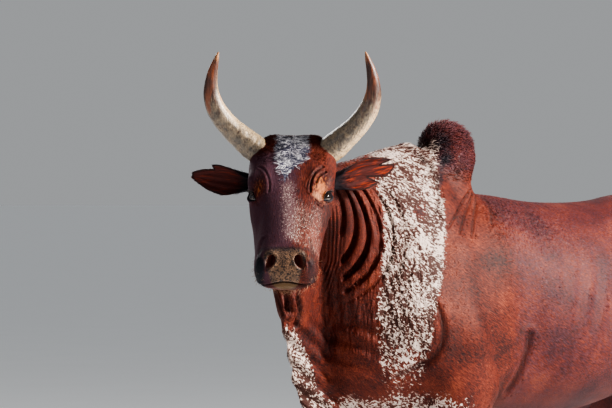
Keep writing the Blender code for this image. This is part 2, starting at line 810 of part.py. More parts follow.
# The marks cut out of each ear: along it from the root, then up across it
EAR_MARKS = {
    1: (
        ((0.160, 0.008), (0.230, 0.020), (0.230, -0.004)),
        ((0.118, -0.016), (0.230, -0.040), (0.195, -0.072)),
    ),
    -1: (((0.134, 0.024), (0.168, 0.020), (0.215, 0.004), (0.215, 0.080), (0.131, 0.080)),),
}


def ear_axes(side):
    """Along the ear, up across it, and out of its cup."""
    aim = EAR_AIM[side]
    along = (ACROSS * aim.x + LEVEL * aim.y + Vector((0, 0, aim.z))).normalized()
    facing = LEVEL + ACROSS * side * 0.2 - Vector((0, 0, 0.25))
    facing = (facing - along * facing.dot(along)).normalized()
    upward = facing.cross(along) * side
    return along, upward if upward.z > 0 else -upward, facing


def ear_root(side):
    return from_head(side * EAR_ROOT[0], EAR_ROOT[1], EAR_ROOT[2])


def ear_cone(side, shape):
    """A round form along the ear's own line."""
    root, along = ear_root(side), ear_axes(side)[0]
    path = [root + along * reach for reach, _ in shape]
    return tapered_tube("cone", path, [radius for _, radius in shape], 3, 1)


def ear(side):
    """A cup rolled nearly shut at its root, with a stalk that sits in the head."""
    name = "ear_left" if side > 0 else "ear_right"
    root = ear_root(side)
    axes = ear_axes(side)
    rows = np.array(EAR_SECTIONS)
    points = []
    for share, radius, half_angle in rows:
        for k in range(-EAR_STEPS, EAR_STEPS + 1):
            angle = math.radians(half_angle) * k / EAR_STEPS
            out = radius * (1 - math.cos(angle)) - EAR_SECTIONS[0][1] + EAR_CURL * share**2
            points.append((share * EAR_LENGTH, radius * math.sin(angle), out))
    wide = 2 * EAR_STEPS + 1
    faces = []
    for start in range(0, (len(rows) - 1) * wide, wide):
        for k in range(start, start + wide - 1):
            faces += [(k, k + 1, k + wide + 1), (k, k + wide + 1, k + wide)]
    sheet = placed(mesh_object(name, points, faces), root, axes)
    walls = sheet.modifiers.new("walls", "SOLIDIFY")
    walls.thickness = EAR_THICKNESS
    walls.offset = 0
    face_out(apply_modifiers(sheet))
    join(sheet, [ear_cone(side, EAR_STALK)])
    for outline in EAR_MARKS[side]:
        boolean(sheet, prism("mark", root, axes, outline, -EAR_LENGTH, EAR_LENGTH), "DIFFERENCE")
    return keep_largest(sheet)


# Feet
CORONET = 0.062
CORONET_SLOPE = math.radians(20)
CLAW_OFFSET = 0.0212
CLAW = (
    # height, then half width and reach fore and aft
    (0.000, 0.0200, 0.070, 0.046),
    (0.035, 0.0204, 0.058, 0.048),
    (0.065, 0.0196, 0.045, 0.048),
    (0.110, 0.0185, 0.030, 0.045),
)

DEWCLAW = (0.019, 0.042, 0.118)
DEWCLAW_RADII = (0.0120, 0.0135, 0.0180)


def foot_centre(name):
    """Where the middle of a foot stands."""
    rows, side, step, pivot = LEGS[name]
    z, x, y, *_ = rows[-2]
    return Vector((side * x, y + step * (1 - z / pivot), 0))


def below_coronet(name):
    """The space of a foot under the slanted upper edge of its hoof."""
    slope = (
        Vector((1, 0, 0)),
        Vector((0, math.cos(CORONET_SLOPE), -math.sin(CORONET_SLOPE))),
        Vector((0, math.sin(CORONET_SLOPE), math.cos(CORONET_SLOPE))),
    )
    place = foot_centre(name) + Vector((0, 0, CORONET))
    return block("below", place, slope, ((-0.1, 0.1), (-0.16, 0.16), (-0.2, 0)))


def claw(leg_name, out):
    """One of a foot's two claws; out is +1 for the outer one."""
    end = leg_name.replace("leg_", "")
    name = f"hoof_{end}_{'outer' if out > 0 else 'inner'}"
    centre = foot_centre(leg_name)
    side = LEGS[leg_name][1]
    rows = [
        level_section(z, centre.x + side * out * CLAW_OFFSET, centre.y, half, fore, aft, 2.6)
        for z, half, fore, aft in CLAW
    ]
    points, faces = loft(rows, sides=12, per_span=1)
    made = mesh_object(name, points, faces)
    boolean(made, below_coronet(leg_name), "INTERSECT")
    return keep_largest(made)


def dewclaws(leg_name):
    """The two small claws behind the pastern."""
    centre = foot_centre(leg_name)
    axes = (Vector((1, 0, 0)), Vector((0, 1, -0.5)).normalized(), Vector((0, 0.5, 1)).normalized())
    places = [centre + Vector((side * DEWCLAW[0], DEWCLAW[1], DEWCLAW[2])) for side in (1, -1)]
    return [ellipsoid("dewclaw", place, axes, DEWCLAW_RADII, 8, 6) for place in places]


# Tail
TAIL_PATH = (
    (0, 0.920, 1.150, 0.036),
    (0, 0.975, 1.165, 0.034),
    (0, 1.022, 1.125, 0.030),
    (0, 1.044, 1.030, 0.025),
    (0, 1.046, 0.910, 0.021),
    (0, 1.042, 0.790, 0.0175),
    (0, 1.038, 0.690, 0.0150),
    (0, 1.036, 0.640, 0.0140),
    (0, 1.036, 0.600, 0.0135),
)
SWITCH_LENGTH = 0.33
SWITCH_LOCKS = 15
SWITCH_CORE = ((0.00, 1.0), (0.10, 1.15), (0.30, 1.2), (0.46, 0.9), (0.58, 0.35))
LOCK_WIDTH = 0.017
LOCK_THICKNESS = 0.0036
# Share of a lock's length, how far it stands off the middle and how full it is
LOCK_SHAPE = (
    (0.00, 0.004, 0.55),
    (0.18, 0.022, 0.95),
    (0.50, 0.031, 1.00),
    (0.80, 0.026, 0.55),
    (1.00, 0.017, 0.14),
)
SEED = 7
GOLDEN_ANGLE = math.radians(137.5)


def tail():
    path = [row[:3] for row in TAIL_PATH]
    return tapered_tube("tail", path, [row[3] for row in TAIL_PATH], 3, 2)


def tail_switch():
    """The brush of the tail: a core and flat locks that hang over one another round it."""
    x, y, top, radius = TAIL_PATH[-1]
    top -= GAP
    path = [(x, y, top - share * SWITCH_LENGTH) for share, _ in SWITCH_CORE]
    core = tapered_tube("tail_switch", path, [radius * wide for _, wide in SWITCH_CORE], 2, 1)
    draw = random.Random(SEED)
    locks = []
    for k in range(SWITCH_LOCKS):
        turn = k * GOLDEN_ANGLE
        start = 0.10 + 0.48 * k / SWITCH_LOCKS
        length = SWITCH_LENGTH * (0.52 + 0.12 * draw.random())
        out = Vector((math.cos(turn), math.sin(turn), 0))
        sway = Vector((draw.uniform(-1, 1), draw.uniform(-1, 1), 0)) * 0.006
        wide = LOCK_WIDTH * draw.uniform(0.85, 1.15)
        rows = []
        for share, off, taper in LOCK_SHAPE:
            centre = Vector((x, y, top - start * SWITCH_LENGTH - share * length))
            centre += out * off + sway * share
            flat = out * LOCK_THICKNESS * taper
            rows.append(slanted(centre + flat, centre - flat, wide * taper))
        points, faces = loft(rows, sides=4, per_span=1)
        locks.append(mesh_object("lock", points, faces))
    return join(core, locks)


# Where the flesh is parted
HUMP_BASE = 1.285
# Across and up, at the inner and the outer end of the cut over each leg
FORE_SLOPE = ((0.048, 0.590), (0.260, 0.815))
HIND_SLOPE = ((0.052, 0.650), (0.270, 0.880))
FORE_REACH = (-0.36, 0.085)
HIND_REACH = (0.635, 1.20)
DEWLAP_YAW = math.radians(8)
SQUARE = (Vector((1, 0, 0)), Vector((0, 1, 0)), Vector((0, 0, 1)))


def head_region():
    """In front of the nape and the angle of the jaw, and above the skin that hangs under the jaw."""
    forward = (ALONG * 0.29 + UP * 0.095).normalized()
    upward = (UP * 0.29 - ALONG * 0.095).normalized()
    reach = ((-0.25, 0.25), (0, 0.62), (-0.335, 0.15))
    return block("head_region", from_head(0, -0.03, 0.02), (ACROSS, forward, upward), reach)


def neck_region():
    """In front of the hump and the shoulders."""
    upward = Vector((0, 0.285, 0.73)).normalized()
    forward = Vector((0, -upward.z, upward.y))
    reach = ((-0.5, 0.5), (0, 0.9), (-0.3, 1.2))
    return block("neck_region", (0, -0.415, 0.66), (SQUARE[0], forward, upward), reach)


def dewlap_region():
    """The hanging skin in front of the throat line."""
    foot = Vector((0, -0.398, 0.700))
    upward = (Vector((0.058, -0.590, 1.130)) - foot).normalized()
    across = Vector((math.cos(DEWLAP_YAW), math.sin(DEWLAP_YAW), 0))
    forward = across.cross(upward).normalized()
    reach = ((-0.3, 0.3), (0, 0.5), (-0.3, 0.75))
    return block("dewlap_region", foot, (upward.cross(forward), forward, upward), reach)


def hump_region():
    return block("hump_region", (0, 0, HUMP_BASE), SQUARE, ((-0.3, 0.3), (-0.4, 0.4), (0, 0.4)))


def leg_region(name):
    """Under a slope that rises outwards from between the legs."""
    rows, side, _, _ = LEGS[name]
    inner, outer = FORE_SLOPE if rows is FORELEG else HIND_SLOPE
    start, end = FORE_REACH if rows is FORELEG else HIND_REACH
    far = 0.45
    top = inner[1] + (outer[1] - inner[1]) / (outer[0] - inner[0]) * (far - inner[0])
    outline = ((inner[0], -0.1), (far, -0.1), (far, top), inner)
    axes = (SQUARE[0] * side, SQUARE[2], SQUARE[1])
    return prism("leg_region", (0, 0, 0), axes, outline, start, end)


def flesh_pieces():
    """Head, neck, dewlap, hump, legs and trunk, parted from three copies of the flesh."""
    lofts = [trunk(), neck(), hump(), skull(), dewlap(), sheath(), scrotum()]
    lofts += [stepped(*LEGS[name]) for name in LEGS]
    lofts += [lid_dome(1), lid_dome(-1)]
    flesh = fuse("flesh", lofts)
    fine = coarser(flesh, "fine", HEAD_EDGE)
    middling = coarser(flesh, "middling", NECK_EDGE)
    whole = coarser(flesh, "torso", BODY_EDGE)
    pieces = {"head": carve(fine, "head", head_region())}
    remove(carve(middling, "spare_head", head_region()))
    pieces["neck"] = carve(middling, "neck", neck_region())
    pieces["dewlap"] = carve(pieces["neck"], "dewlap", dewlap_region())
    remove(carve(whole, "spare_head", head_region()))
    remove(carve(whole, "spare_neck", neck_region()))
    pieces["hump"] = carve(whole, "hump", hump_region())
    for name in LEGS:
        leg = carve(whole, name, leg_region(name))
        boolean(leg, grow(below_coronet(name)), "DIFFERENCE")
        pieces[name] = join(keep_largest(leg), dewclaws(name))
    for spare in (flesh, fine, middling):
        remove(spare)
    pieces["torso"] = whole
    return pieces


def build():
    """Every piece of the model, by the name of its material."""
    flesh = flesh_pieces()
    head, torso = flesh["head"], flesh["torso"]
    part_lips(head)
    eyes, horns, ears = [], [], []
    for side in (1, -1):
        eyes.append(eyeball(side))
        horns.append(horn(side))
        ears.append(ear(side))
        seat(head, horns[-1])
        seat(flesh["neck"], horns[-1])
        boolean(head, grow(ear_cone(side, EAR_SEAT)), "DIFFERENCE")
        open_socket(head, side)
        open_nostril(head, side)
    keep_largest(head)
    tail_piece = tail()
    seat(torso, tail_piece, 2 * GAP)
    claws = [claw(name, out) for name in LEGS for out in (1, -1)]
    roan = [flesh.pop("dewlap")]
    return {
        "hide": [*flesh.values(), tail_piece],
        "roan_hide": roan,
        "ear_hide": ears,
        "horn": horns,
        "eye": eyes,
        "hoof": claws,
        "switch_hair": [tail_switch()],
    }


# Colour and roughness
FINISHES = {
    "hide": ((0.135, 0.045, 0.026), 0.65),
    "roan_hide": ((0.360, 0.290, 0.250), 0.70),
    "ear_hide": ((0.120, 0.046, 0.030), 0.70),
    "horn": ((0.300, 0.235, 0.165), 0.50),
    "eye": ((0.012, 0.007, 0.006), 0.08),
    "hoof": ((0.060, 0.048, 0.040), 0.45),
    "switch_hair": ((0.022, 0.013, 0.011), 0.60),
}


def finish(things, name):
    colour, roughness = FINISHES[name]
    made = bpy.data.materials.new(name)
    made.use_nodes = True
    made.diffuse_color = (*colour, 1)
    shader = made.node_tree.nodes["Principled BSDF"]
    shader.inputs["Base Color"].default_value = (*colour, 1)
    shader.inputs["Roughness"].default_value = roughness
    for thing in things:
        thing.data.materials.clear()
        thing.data.materials.append(made)
        thing.data.shade_smooth()


def centre_between_feet(things):
    """Puts the origin on the ground in the middle of the model's extent."""
    points = np.vstack([coordinates(thing.data) for thing in things])
    middle = (points.min(axis=0) + points.max(axis=0)) / 2
    middle[2] = points[:, 2].min()
    for thing in things:
        set_coordinates(thing.data, coordinates(thing.data) - middle)


def main():
    for thing in list(bpy.data.objects):
        bpy.data.objects.remove(thing, do_unlink=True)
    groups = build()
    for name, things in groups.items():
        finish(things, name)
    everything = [thing for things in groups.values() for thing in things]
    centre_between_feet(everything)
    gather("zebu_bull", everything)


main()
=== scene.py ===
"""Looks of the zebu bull: skin, coat, eyes, horns, ears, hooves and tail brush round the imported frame.

Metres, +Z up. The anatomy is worked out as in the part's own source, where y counts rearwards from the
withers. Every finished mesh is then moved by SHIFT into the frame, whose origin is between the feet.
"""

import math

import bmesh
import bpy
import numpy as np
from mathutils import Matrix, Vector
from mathutils.bvhtree import BVHTree


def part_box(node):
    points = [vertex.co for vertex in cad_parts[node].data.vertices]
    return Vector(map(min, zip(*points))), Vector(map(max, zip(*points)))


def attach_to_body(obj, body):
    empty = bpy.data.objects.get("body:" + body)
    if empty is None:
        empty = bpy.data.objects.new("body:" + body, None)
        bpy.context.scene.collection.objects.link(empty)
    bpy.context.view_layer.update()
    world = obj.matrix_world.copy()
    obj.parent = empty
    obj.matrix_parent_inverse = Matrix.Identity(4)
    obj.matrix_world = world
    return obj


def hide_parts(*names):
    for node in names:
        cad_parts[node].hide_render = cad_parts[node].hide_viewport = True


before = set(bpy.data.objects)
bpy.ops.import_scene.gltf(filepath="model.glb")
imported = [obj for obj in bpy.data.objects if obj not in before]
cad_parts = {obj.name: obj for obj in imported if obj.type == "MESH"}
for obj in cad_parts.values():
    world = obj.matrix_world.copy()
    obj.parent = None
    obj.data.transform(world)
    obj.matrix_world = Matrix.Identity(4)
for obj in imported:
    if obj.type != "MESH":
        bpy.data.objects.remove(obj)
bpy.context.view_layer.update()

# The distance that makes two points one, and the seed of the random draws
WELD = 0.00005
SEED = 7

# Main heights and places, as in the part
BACK = 1.230
HUMP_TOP = 1.44
POLL = Vector((0.096, -0.640, 1.398))
HEAD_YAW = math.radians(44.5)
HEAD_PITCH = math.radians(41)
FOOT_X = 0.13
WORDS = {1: "left", -1: "right"}

# How fine the fused skin is, and how much it is rounded
VOXEL = 0.0065
ROUNDING_PASSES = 34
ROUNDING_WEIGHT = 0.6
# How much of the rounding the head and the shanks are spared, and the most that any place is
HEAD_SPARED = 0.9
SHANKS_SPARED = 0.8
MOST_SPARED = 0.95
REFINING_PASSES = 2
REFINING_WEIGHT = 0.5

# The eye, the lids, the line of the mouth and the nostril, in the head frame
EYE_PLACE = Vector((0.0905, 0.205, -0.044))
EYE_OUTWARD = Vector((0.76, 0.28, 0.58)).normalized()
EYE_RADIUS = 0.0195
LID_RADIUS = 0.0245
EYE_SLANT = 0.27
MOUTH_CORNER = (0.385, -0.115)
MOUTH_FRONT = -0.068
MOUTH_LENGTH = 0.126
MOUTH_HALF_WIDTH = 0.076
NOSTRIL = Vector((0.0405, 0.482, -0.025))


def head_axes():
    """The head's across, along and up directions in the model, and its level forward direction."""
    level = Vector((math.sin(HEAD_YAW), -math.cos(HEAD_YAW), 0))
    along = level * math.cos(HEAD_PITCH) - Vector((0, 0, 1)) * math.sin(HEAD_PITCH)
    up = level * math.sin(HEAD_PITCH) + Vector((0, 0, 1)) * math.cos(HEAD_PITCH)
    return along.cross(up).normalized() * -1, along, up, level


ACROSS, ALONG, UP, LEVEL = head_axes()
HEAD_TURN = np.array([ACROSS, ALONG, UP])


def from_head(across, along, up):
    """A point given in the head frame."""
    return POLL + ACROSS * across + ALONG * along + UP * up


def from_poll(across, forward, up):
    """A point given level with the ground from the poll."""
    return POLL + ACROSS * across + LEVEL * forward + Vector((0, 0, up))


def in_head(points):
    """Across, along and up in the head frame."""
    return (points - np.array(POLL)) @ HEAD_TURN.T


def head_places(points):
    """How far aside, along and up the head each point is."""
    across, along, up = in_head(points).T
    return np.abs(across), along, up


# Sections. Each row is one section of a loft: its crest, its keel, half its width, how far up from the
# keel it is widest, and how square its upper and its lower half are.
def upright(y, crest, keel, *shape):
    """A section of the trunk, in an upright plane across the body."""
    return slanted((0, y, crest), (0, y, keel), *shape)


def slanted(crest, keel, half, level=0.5, square_up=2.0, square_down=2.0):
    """A section between any two points."""
    return (*crest, *keel, half, level, square_up, square_down)


def level_section(z, x, y, half, fore, aft, square=2.2):
    """A section of a limb, level with the ground."""
    return (x, y - fore, z, x, y + aft, z, half, aft / (fore + aft), square, square)


def trunk():
    return [
        upright(-0.450, 0.980, 0.740, 0.060, 0.55),
        upright(-0.405, 1.080, 0.680, 0.125, 0.52),
        upright(-0.310, 1.160, 0.640, 0.185, 0.50),
        upright(-0.180, 1.220, 0.612, 0.216, 0.50),
        upright(-0.020, BACK + 0.015, 0.600, 0.228, 0.48, 1.9, 2.1),
        upright(0.150, BACK + 0.018, 0.598, 0.242, 0.47, 1.9, 2.1),
        upright(0.320, BACK - 0.002, 0.602, 0.268, 0.45, 1.9, 2.1),
        upright(0.480, BACK - 0.006, 0.616, 0.278, 0.45, 1.9, 2.1),
        upright(0.620, BACK + 0.002, 0.648, 0.262, 0.46, 2.0, 2.1),
        upright(0.740, BACK + 0.020, 0.690, 0.240, 0.50, 2.2, 2.1),
        upright(0.850, BACK + 0.014, 0.740, 0.215, 0.52, 2.2, 2.1),
        upright(0.940, BACK - 0.020, 0.810, 0.170, 0.52, 2.2, 2.0),
        upright(0.995, BACK - 0.075, 0.900, 0.100, 0.52),
    ]


def neck():
    return [
        slanted((0, 0.06, 1.230), (0, -0.22, 0.600), 0.200, 0.45),
        slanted((0, -0.09, 1.378), (0, -0.38, 0.720), 0.185, 0.42, 1.7, 2.0),
        slanted((0.002, -0.21, 1.378), (0.008, -0.45, 0.850), 0.165, 0.42, 1.7, 2.0),
        slanted((0.012, -0.33, 1.345), (0.020, -0.505, 0.970), 0.143, 0.45, 1.8, 2.0),
        slanted((0.034, -0.44, 1.328), (0.036, -0.545, 1.060), 0.124, 0.48, 1.9, 2.0),
        slanted((0.064, -0.550, 1.345), (0.054, -0.580, 1.125), 0.110, 0.50),
        slanted((0.090, -0.612, 1.360), (0.082, -0.630, 1.170), 0.092, 0.50),
    ]


def hump():
    """The hump leans back over the withers and overhangs the back a little."""
    return [
        level_section(1.100, 0, -0.015, 0.120, 0.190, 0.200),
        level_section(1.200, 0, -0.015, 0.102, 0.160, 0.150),
        level_section(1.250, 0, -0.012, 0.088, 0.118, 0.112),
        level_section(1.287, 0, 0.004, 0.076, 0.098, 0.092),
        level_section(1.320, 0, 0.020, 0.071, 0.098, 0.096),
        level_section(1.351, 0, 0.027, 0.069, 0.098, 0.096),
        level_section(1.388, 0, 0.018, 0.063, 0.085, 0.086),
        level_section(1.415, 0, 0.018, 0.049, 0.058, 0.060),
        level_section(1.432, 0, 0.015, 0.031, 0.034, 0.036),
        level_section(HUMP_TOP, 0, 0.012, 0.014, 0.016, 0.016),
    ]


def stepped(rows, side, step, pivot):
    """A leg's sections on one side, swung fore or aft from its pivot's height."""
    sections = []
    for z, x, y, *reach in rows:
        bulk = 1 + LEG_BULK * min(1, z / BULK_HEIGHT)
        place = side * x, y + step * max(0, 1 - z / pivot)
        sections.append(level_section(z, *place, *[bulk * size for size in reach]))
    return sections


FORELEG = (
    # height, how far aside and rearwards, then half width and reach fore and aft
    (1.14, 0.095, -0.050, 0.045, 0.080, 0.090),
    (1.02, 0.120, -0.090, 0.075, 0.130, 0.130),
    (0.90, 0.142, -0.130, 0.085, 0.155, 0.150),
    (0.78, 0.148, -0.105, 0.080, 0.135, 0.140),
    (0.68, 0.146, -0.070, 0.068, 0.095, 0.118),
    (0.58, 0.140, -0.062, 0.053, 0.068, 0.074),
    (0.48, FOOT_X + 0.005, -0.064, 0.042, 0.050, 0.054),
    (0.40, FOOT_X, -0.070, 0.038, 0.042, 0.042),
    (0.355, FOOT_X, -0.074, 0.042, 0.044, 0.040),
    (0.310, FOOT_X, -0.069, 0.034, 0.036, 0.036),
    (0.250, FOOT_X, -0.066, 0.027, 0.029, 0.033),
    (0.175, FOOT_X, -0.066, 0.027, 0.030, 0.034),
    (0.135, FOOT_X, -0.070, 0.034, 0.037, 0.044),
    (0.095, FOOT_X, -0.082, 0.035, 0.037, 0.040),
    (0.050, FOOT_X, -0.095, 0.041, 0.047, 0.048),
    (0.020, FOOT_X, -0.100, 0.041, 0.050, 0.050),
)
HINDLEG = (
    (1.14, 0.095, 0.800, 0.060, 0.130, 0.100),
    (1.02, 0.118, 0.795, 0.085, 0.175, 0.150),
    (0.90, 0.136, 0.780, 0.090, 0.185, 0.165),
    (0.79, 0.146, 0.765, 0.084, 0.165, 0.150),
    (0.69, 0.148, 0.790, 0.067, 0.130, 0.112),
    (0.60, 0.146, 0.835, 0.050, 0.088, 0.078),
    (0.52, 0.142, 0.878, 0.038, 0.058, 0.060),
    (0.470, 0.140, 0.902, 0.036, 0.050, 0.058),
    (0.425, 0.138, 0.905, 0.037, 0.047, 0.045),
    (0.360, 0.136, 0.900, 0.030, 0.036, 0.036),
    (0.270, 0.134, 0.892, 0.027, 0.030, 0.034),
    (0.175, 0.134, 0.884, 0.027, 0.030, 0.036),
    (0.135, 0.134, 0.876, 0.034, 0.037, 0.045),
    (0.095, 0.134, 0.862, 0.035, 0.037, 0.040),
    (0.050, 0.134, 0.848, 0.040, 0.046, 0.047),
    (0.020, 0.134, 0.843, 0.040, 0.048, 0.048),
)
# The heights that the legs swing from, and how much stouter they are from one height up
FORE_PIVOT = 0.75
HIND_PIVOT = 0.80
LEG_BULK = 0.10
BULK_HEIGHT = 0.20
LEGS = {
    # sections, side, how far back the foot is set, and the height it swings from
    "leg_front_left": (FORELEG, 1, -0.045, FORE_PIVOT),
    "leg_front_right": (FORELEG, -1, 0.035, FORE_PIVOT),
    "leg_hind_left": (HINDLEG, 1, 0.050, HIND_PIVOT),
    "leg_hind_right": (HINDLEG, -1, -0.055, HIND_PIVOT),
}

SKULL = (
    # along, crest, keel, half width, widest level, squareness above and below
    (-0.050, -0.050, -0.150, 0.055, 0.60, 2.2, 2.0),
    (-0.020, -0.014, -0.180, 0.092, 0.66, 2.5, 1.9),
    (0.020, 0.000, -0.205, 0.112, 0.72, 2.8, 1.8),
    (0.070, 0.008, -0.238, 0.119, 0.75, 2.8, 1.7),
    (0.130, 0.010, -0.250, 0.119, 0.76, 2.7, 1.7),
    (0.185, 0.006, -0.245, 0.114, 0.74, 2.4, 1.7),
    (0.235, 0.001, -0.225, 0.105, 0.68, 2.3, 1.75),
    (0.285, -0.001, -0.200, 0.099, 0.64, 2.3, 1.8),
    (0.345, -0.002, -0.170, 0.093, 0.59, 2.4, 1.9),
    (0.400, -0.004, -0.148, 0.087, 0.53, 2.5, 2.1),
    (0.445, -0.008, -0.135, 0.084, 0.50, 2.6, 2.4),
    (0.480, -0.017, -0.123, 0.081, 0.50, 2.6, 2.4),
    (0.503, -0.032, -0.108, 0.064, 0.50, 2.5, 2.4),
    (0.515, -0.054, -0.096, 0.034, 0.50, 2.2, 2.2),
)


def skull():
    return [
        slanted(from_head(0, along, crest), from_head(0, along, keel), *shape)
        for along, crest, keel, *shape in SKULL
    ]


def dewlap():
    """The hanging skin, from under the jaw down the neck to between the forelegs."""
    return [
        slanted(from_head(0, 0.345, -0.110), from_head(0, 0.345, -0.182), 0.046, 0.70, 2.2, 1.6),
        slanted(from_head(0, 0.250, -0.140), from_head(0, 0.285, -0.260), 0.064, 0.75, 2.0, 1.4),
        slanted((0.060, -0.600, 1.120), (0.104, -0.690, 0.925), 0.070, 0.80, 2.0, 1.3),
        slanted((0.045, -0.530, 1.060), (0.075, -0.655, 0.860), 0.046, 0.75, 2.0, 1.5),
        slanted((0.020, -0.460, 0.960), (0.036, -0.602, 0.785), 0.028, 0.60, 2.0, 1.7),
        slanted((0.006, -0.400, 0.850), (0.012, -0.556, 0.695), 0.022),
        slanted((0, -0.330, 0.770), (0, -0.470, 0.612), 0.026),
        slanted((0, -0.250, 0.700), (0, -0.330, 0.548), 0.030),
        slanted((0, -0.100, 0.660), (0, -0.140, 0.520), 0.028),
        slanted((0, 0.030, 0.640), (0, 0.030, 0.548), 0.024),
        slanted((0, 0.130, 0.650), (0, 0.140, 0.606), 0.016),
    ]


def sheath():
    """The fold of skin under the belly, with the navel flap."""
    return [
        slanted((0, 0.270, 0.620), (0, 0.250, 0.530), 0.020),
        slanted((0, 0.350, 0.620), (0, 0.330, 0.490), 0.026),
        slanted((0, 0.430, 0.620), (0, 0.420, 0.478), 0.026),
        slanted((0, 0.520, 0.640), (0, 0.510, 0.510), 0.022),
        slanted((0, 0.600, 0.660), (0, 0.600, 0.560), 0.018),
    ]


def scrotum():
    return [
        level_section(0.740, 0, 0.800, 0.060, 0.060, 0.060),
        level_section(0.660, 0, 0.800, 0.030, 0.034, 0.034),
        level_section(0.600, 0, 0.805, 0.038, 0.042, 0.042),
        level_section(0.550, 0, 0.810, 0.044, 0.048, 0.048),
        level_section(0.510, 0, 0.812, 0.038, 0.042, 0.042),
        level_section(0.490, 0, 0.812, 0.018, 0.020, 0.020),
    ]


def lid_dome(side):
    """The round of the lids over one eye."""
    rows = []
    for k in range(-4, 5):
        turn = math.radians(20 * k)
        place = eye_centre(side) + ALONG * LID_RADIUS * math.sin(turn)
        radius = LID_RADIUS * math.cos(turn)
        rows.append(slanted(place + UP * radius, place - UP * radius, radius))
    return rows


# Swellings and hollows of the head: across, along and up in the head frame, then reach each way and height
HEAD_FORMS = (
    # poll ridge and the bosses under the horns
    (0.000, -0.004, 0.000, 0.070, 0.030, 0.030, 0.006),
    (0.092, 0.020, -0.030, 0.030, 0.035, 0.035, 0.008),
    # brow over the eye, the arch in front of it and the dished forehead
    (0.100, 0.160, -0.020, 0.022, 0.034, 0.024, 0.010),
    (0.066, 0.175, 0.004, 0.014, 0.050, 0.020, 0.005),
    (0.000, 0.185, 0.008, 0.045, 0.075, 0.030, -0.006),
    # the hollow behind the brow, in front of the ear
    (0.118, 0.125, -0.085, 0.025, 0.030, 0.030, -0.007),
    # cheekbone, the hollow below it and the hollow over it beside the nose
    (0.100, 0.240, -0.075, 0.022, 0.055, 0.018, 0.005),
    (0.085, 0.320, -0.030, 0.022, 0.060, 0.022, -0.006),
    (0.078, 0.310, -0.130, 0.030, 0.050, 0.025, -0.008),
    # chewing muscle
    (0.090, 0.140, -0.175, 0.035, 0.060, 0.050, 0.008),
    # nose bridge, upper lip, chin
    (0.000, 0.340, 0.000, 0.030, 0.110, 0.025, 0.004),
    (0.056, 0.450, -0.080, 0.030, 0.035, 0.025, 0.006),
    (0.000, 0.450, -0.140, 0.040, 0.040, 0.022, 0.006),
    # rims of the nostrils
    (0.064, 0.466, -0.035, 0.014, 0.022, 0.020, 0.007),
    (0.042, 0.452, -0.008, 0.020, 0.016, 0.014, 0.005),
)

# Swellings and hollows of the body, on both sides: place, reach each way and height
BODY_FORMS = (
    # shoulder: blade, point, upper arm, elbow, and the hollow behind it
    (0.165, -0.090, 1.060, 0.050, 0.060, 0.120, 0.012),
    (0.190, -0.280, 0.880, 0.060, 0.060, 0.070, 0.020),
    (0.225, -0.080, 0.850, 0.060, 0.070, 0.090, 0.016),
    (0.215, 0.030, 0.700, 0.050, 0.040, 0.050, 0.012),
    (0.235, 0.120, 0.900, 0.060, 0.060, 0.150, -0.014),
    # flank hollow, hook bone, pin bone and the dip between
    (0.220, 0.590, 1.120, 0.080, 0.080, 0.060, -0.022),
    (0.190, 0.700, 1.190, 0.050, 0.050, 0.040, 0.020),
    (0.080, 0.965, 1.110, 0.040, 0.040, 0.040, 0.016),
    (0.160, 0.850, 1.190, 0.060, 0.060, 0.050, -0.014),
    # thigh, its hamstring groove and the fold of the flank
    (0.225, 0.800, 0.930, 0.070, 0.100, 0.100, 0.014),
    (0.200, 0.610, 0.780, 0.070, 0.040, 0.060, -0.012),
    # belly
    (0.240, 0.400, 0.780, 0.090, 0.160, 0.100, 0.012),
    # forearm and gaskin muscles, knee and hock
    (0.180, -0.095, 0.600, 0.030, 0.040, 0.050, 0.007),
    (0.190, 0.800, 0.660, 0.040, 0.050, 0.060, 0.008),
)


def smooth_rows(rows, per_span):
    """More rows on a smooth curve through the given ones."""
    rows = np.array(rows, float)
    padded = np.vstack([2 * rows[0] - rows[1], rows, 2 * rows[-1] - rows[-2]])
    found = []
    for i in range(len(rows) - 1):
        before, start, end, after = padded[i : i + 4]
        for k in range(per_span):
            t = k / per_span
            found.append(
                0.5
                * (
                    2 * start
                    + (end - before) * t
                    + (2 * before - 5 * start + 4 * end - after) * t**2
                    + (3 * start - before - 3 * end + after) * t**3
                )
            )
    return np.vstack([found, rows[-1:]])


def signed_power(values, power):
    return np.sign(values) * np.abs(values) ** power


# Points round a section of a loft, and rows on each stretch of it
LOFT_SIDES = 32
LOFT_STEPS = 4


def loft(rows, sides=LOFT_SIDES):
    """Points and faces of a closed loft through the sections."""
    rows = smooth_rows(rows, LOFT_STEPS)
    crest, keel = rows[:, 0:3], rows[:, 3:6]
    half, level, square_up, square_down = rows[:, 6:10].T
    middle = (crest + keel) / 2
    across = unit(np.cross(np.gradient(middle, axis=0), crest - keel))
    centre = keel + level[:, None] * (crest - keel)
    rings = []
    for k in range(sides):
        angle = 2 * math.pi * k / sides
        upper = math.sin(angle) >= 0
        power = 2 / (square_up if upper else square_down)
        reach = (crest if upper else keel) - centre
        out = signed_power(math.cos(angle), power) * half
        rise = abs(math.sin(angle)) ** power
        rings.append(centre + across * out[:, None] + reach * rise[:, None])
    points = np.stack(rings, axis=1).reshape(-1, 3)
    faces = []
    for i in range(len(rows) - 1):
        for k in range(sides):
            here, beside = i * sides + k, i * sides + (k + 1) % sides
            faces.append((here, beside, beside + sides, here + sides))
    last = (len(rows) - 1) * sides
    faces.append(tuple(range(sides)))
    faces.append(tuple(range(last + sides - 1, last - 1, -1)))
    return points, faces


def linked(name, data):
    """A new object in the scene."""
    made = bpy.data.objects.new(name, data)
    bpy.context.scene.collection.objects.link(made)
    return made


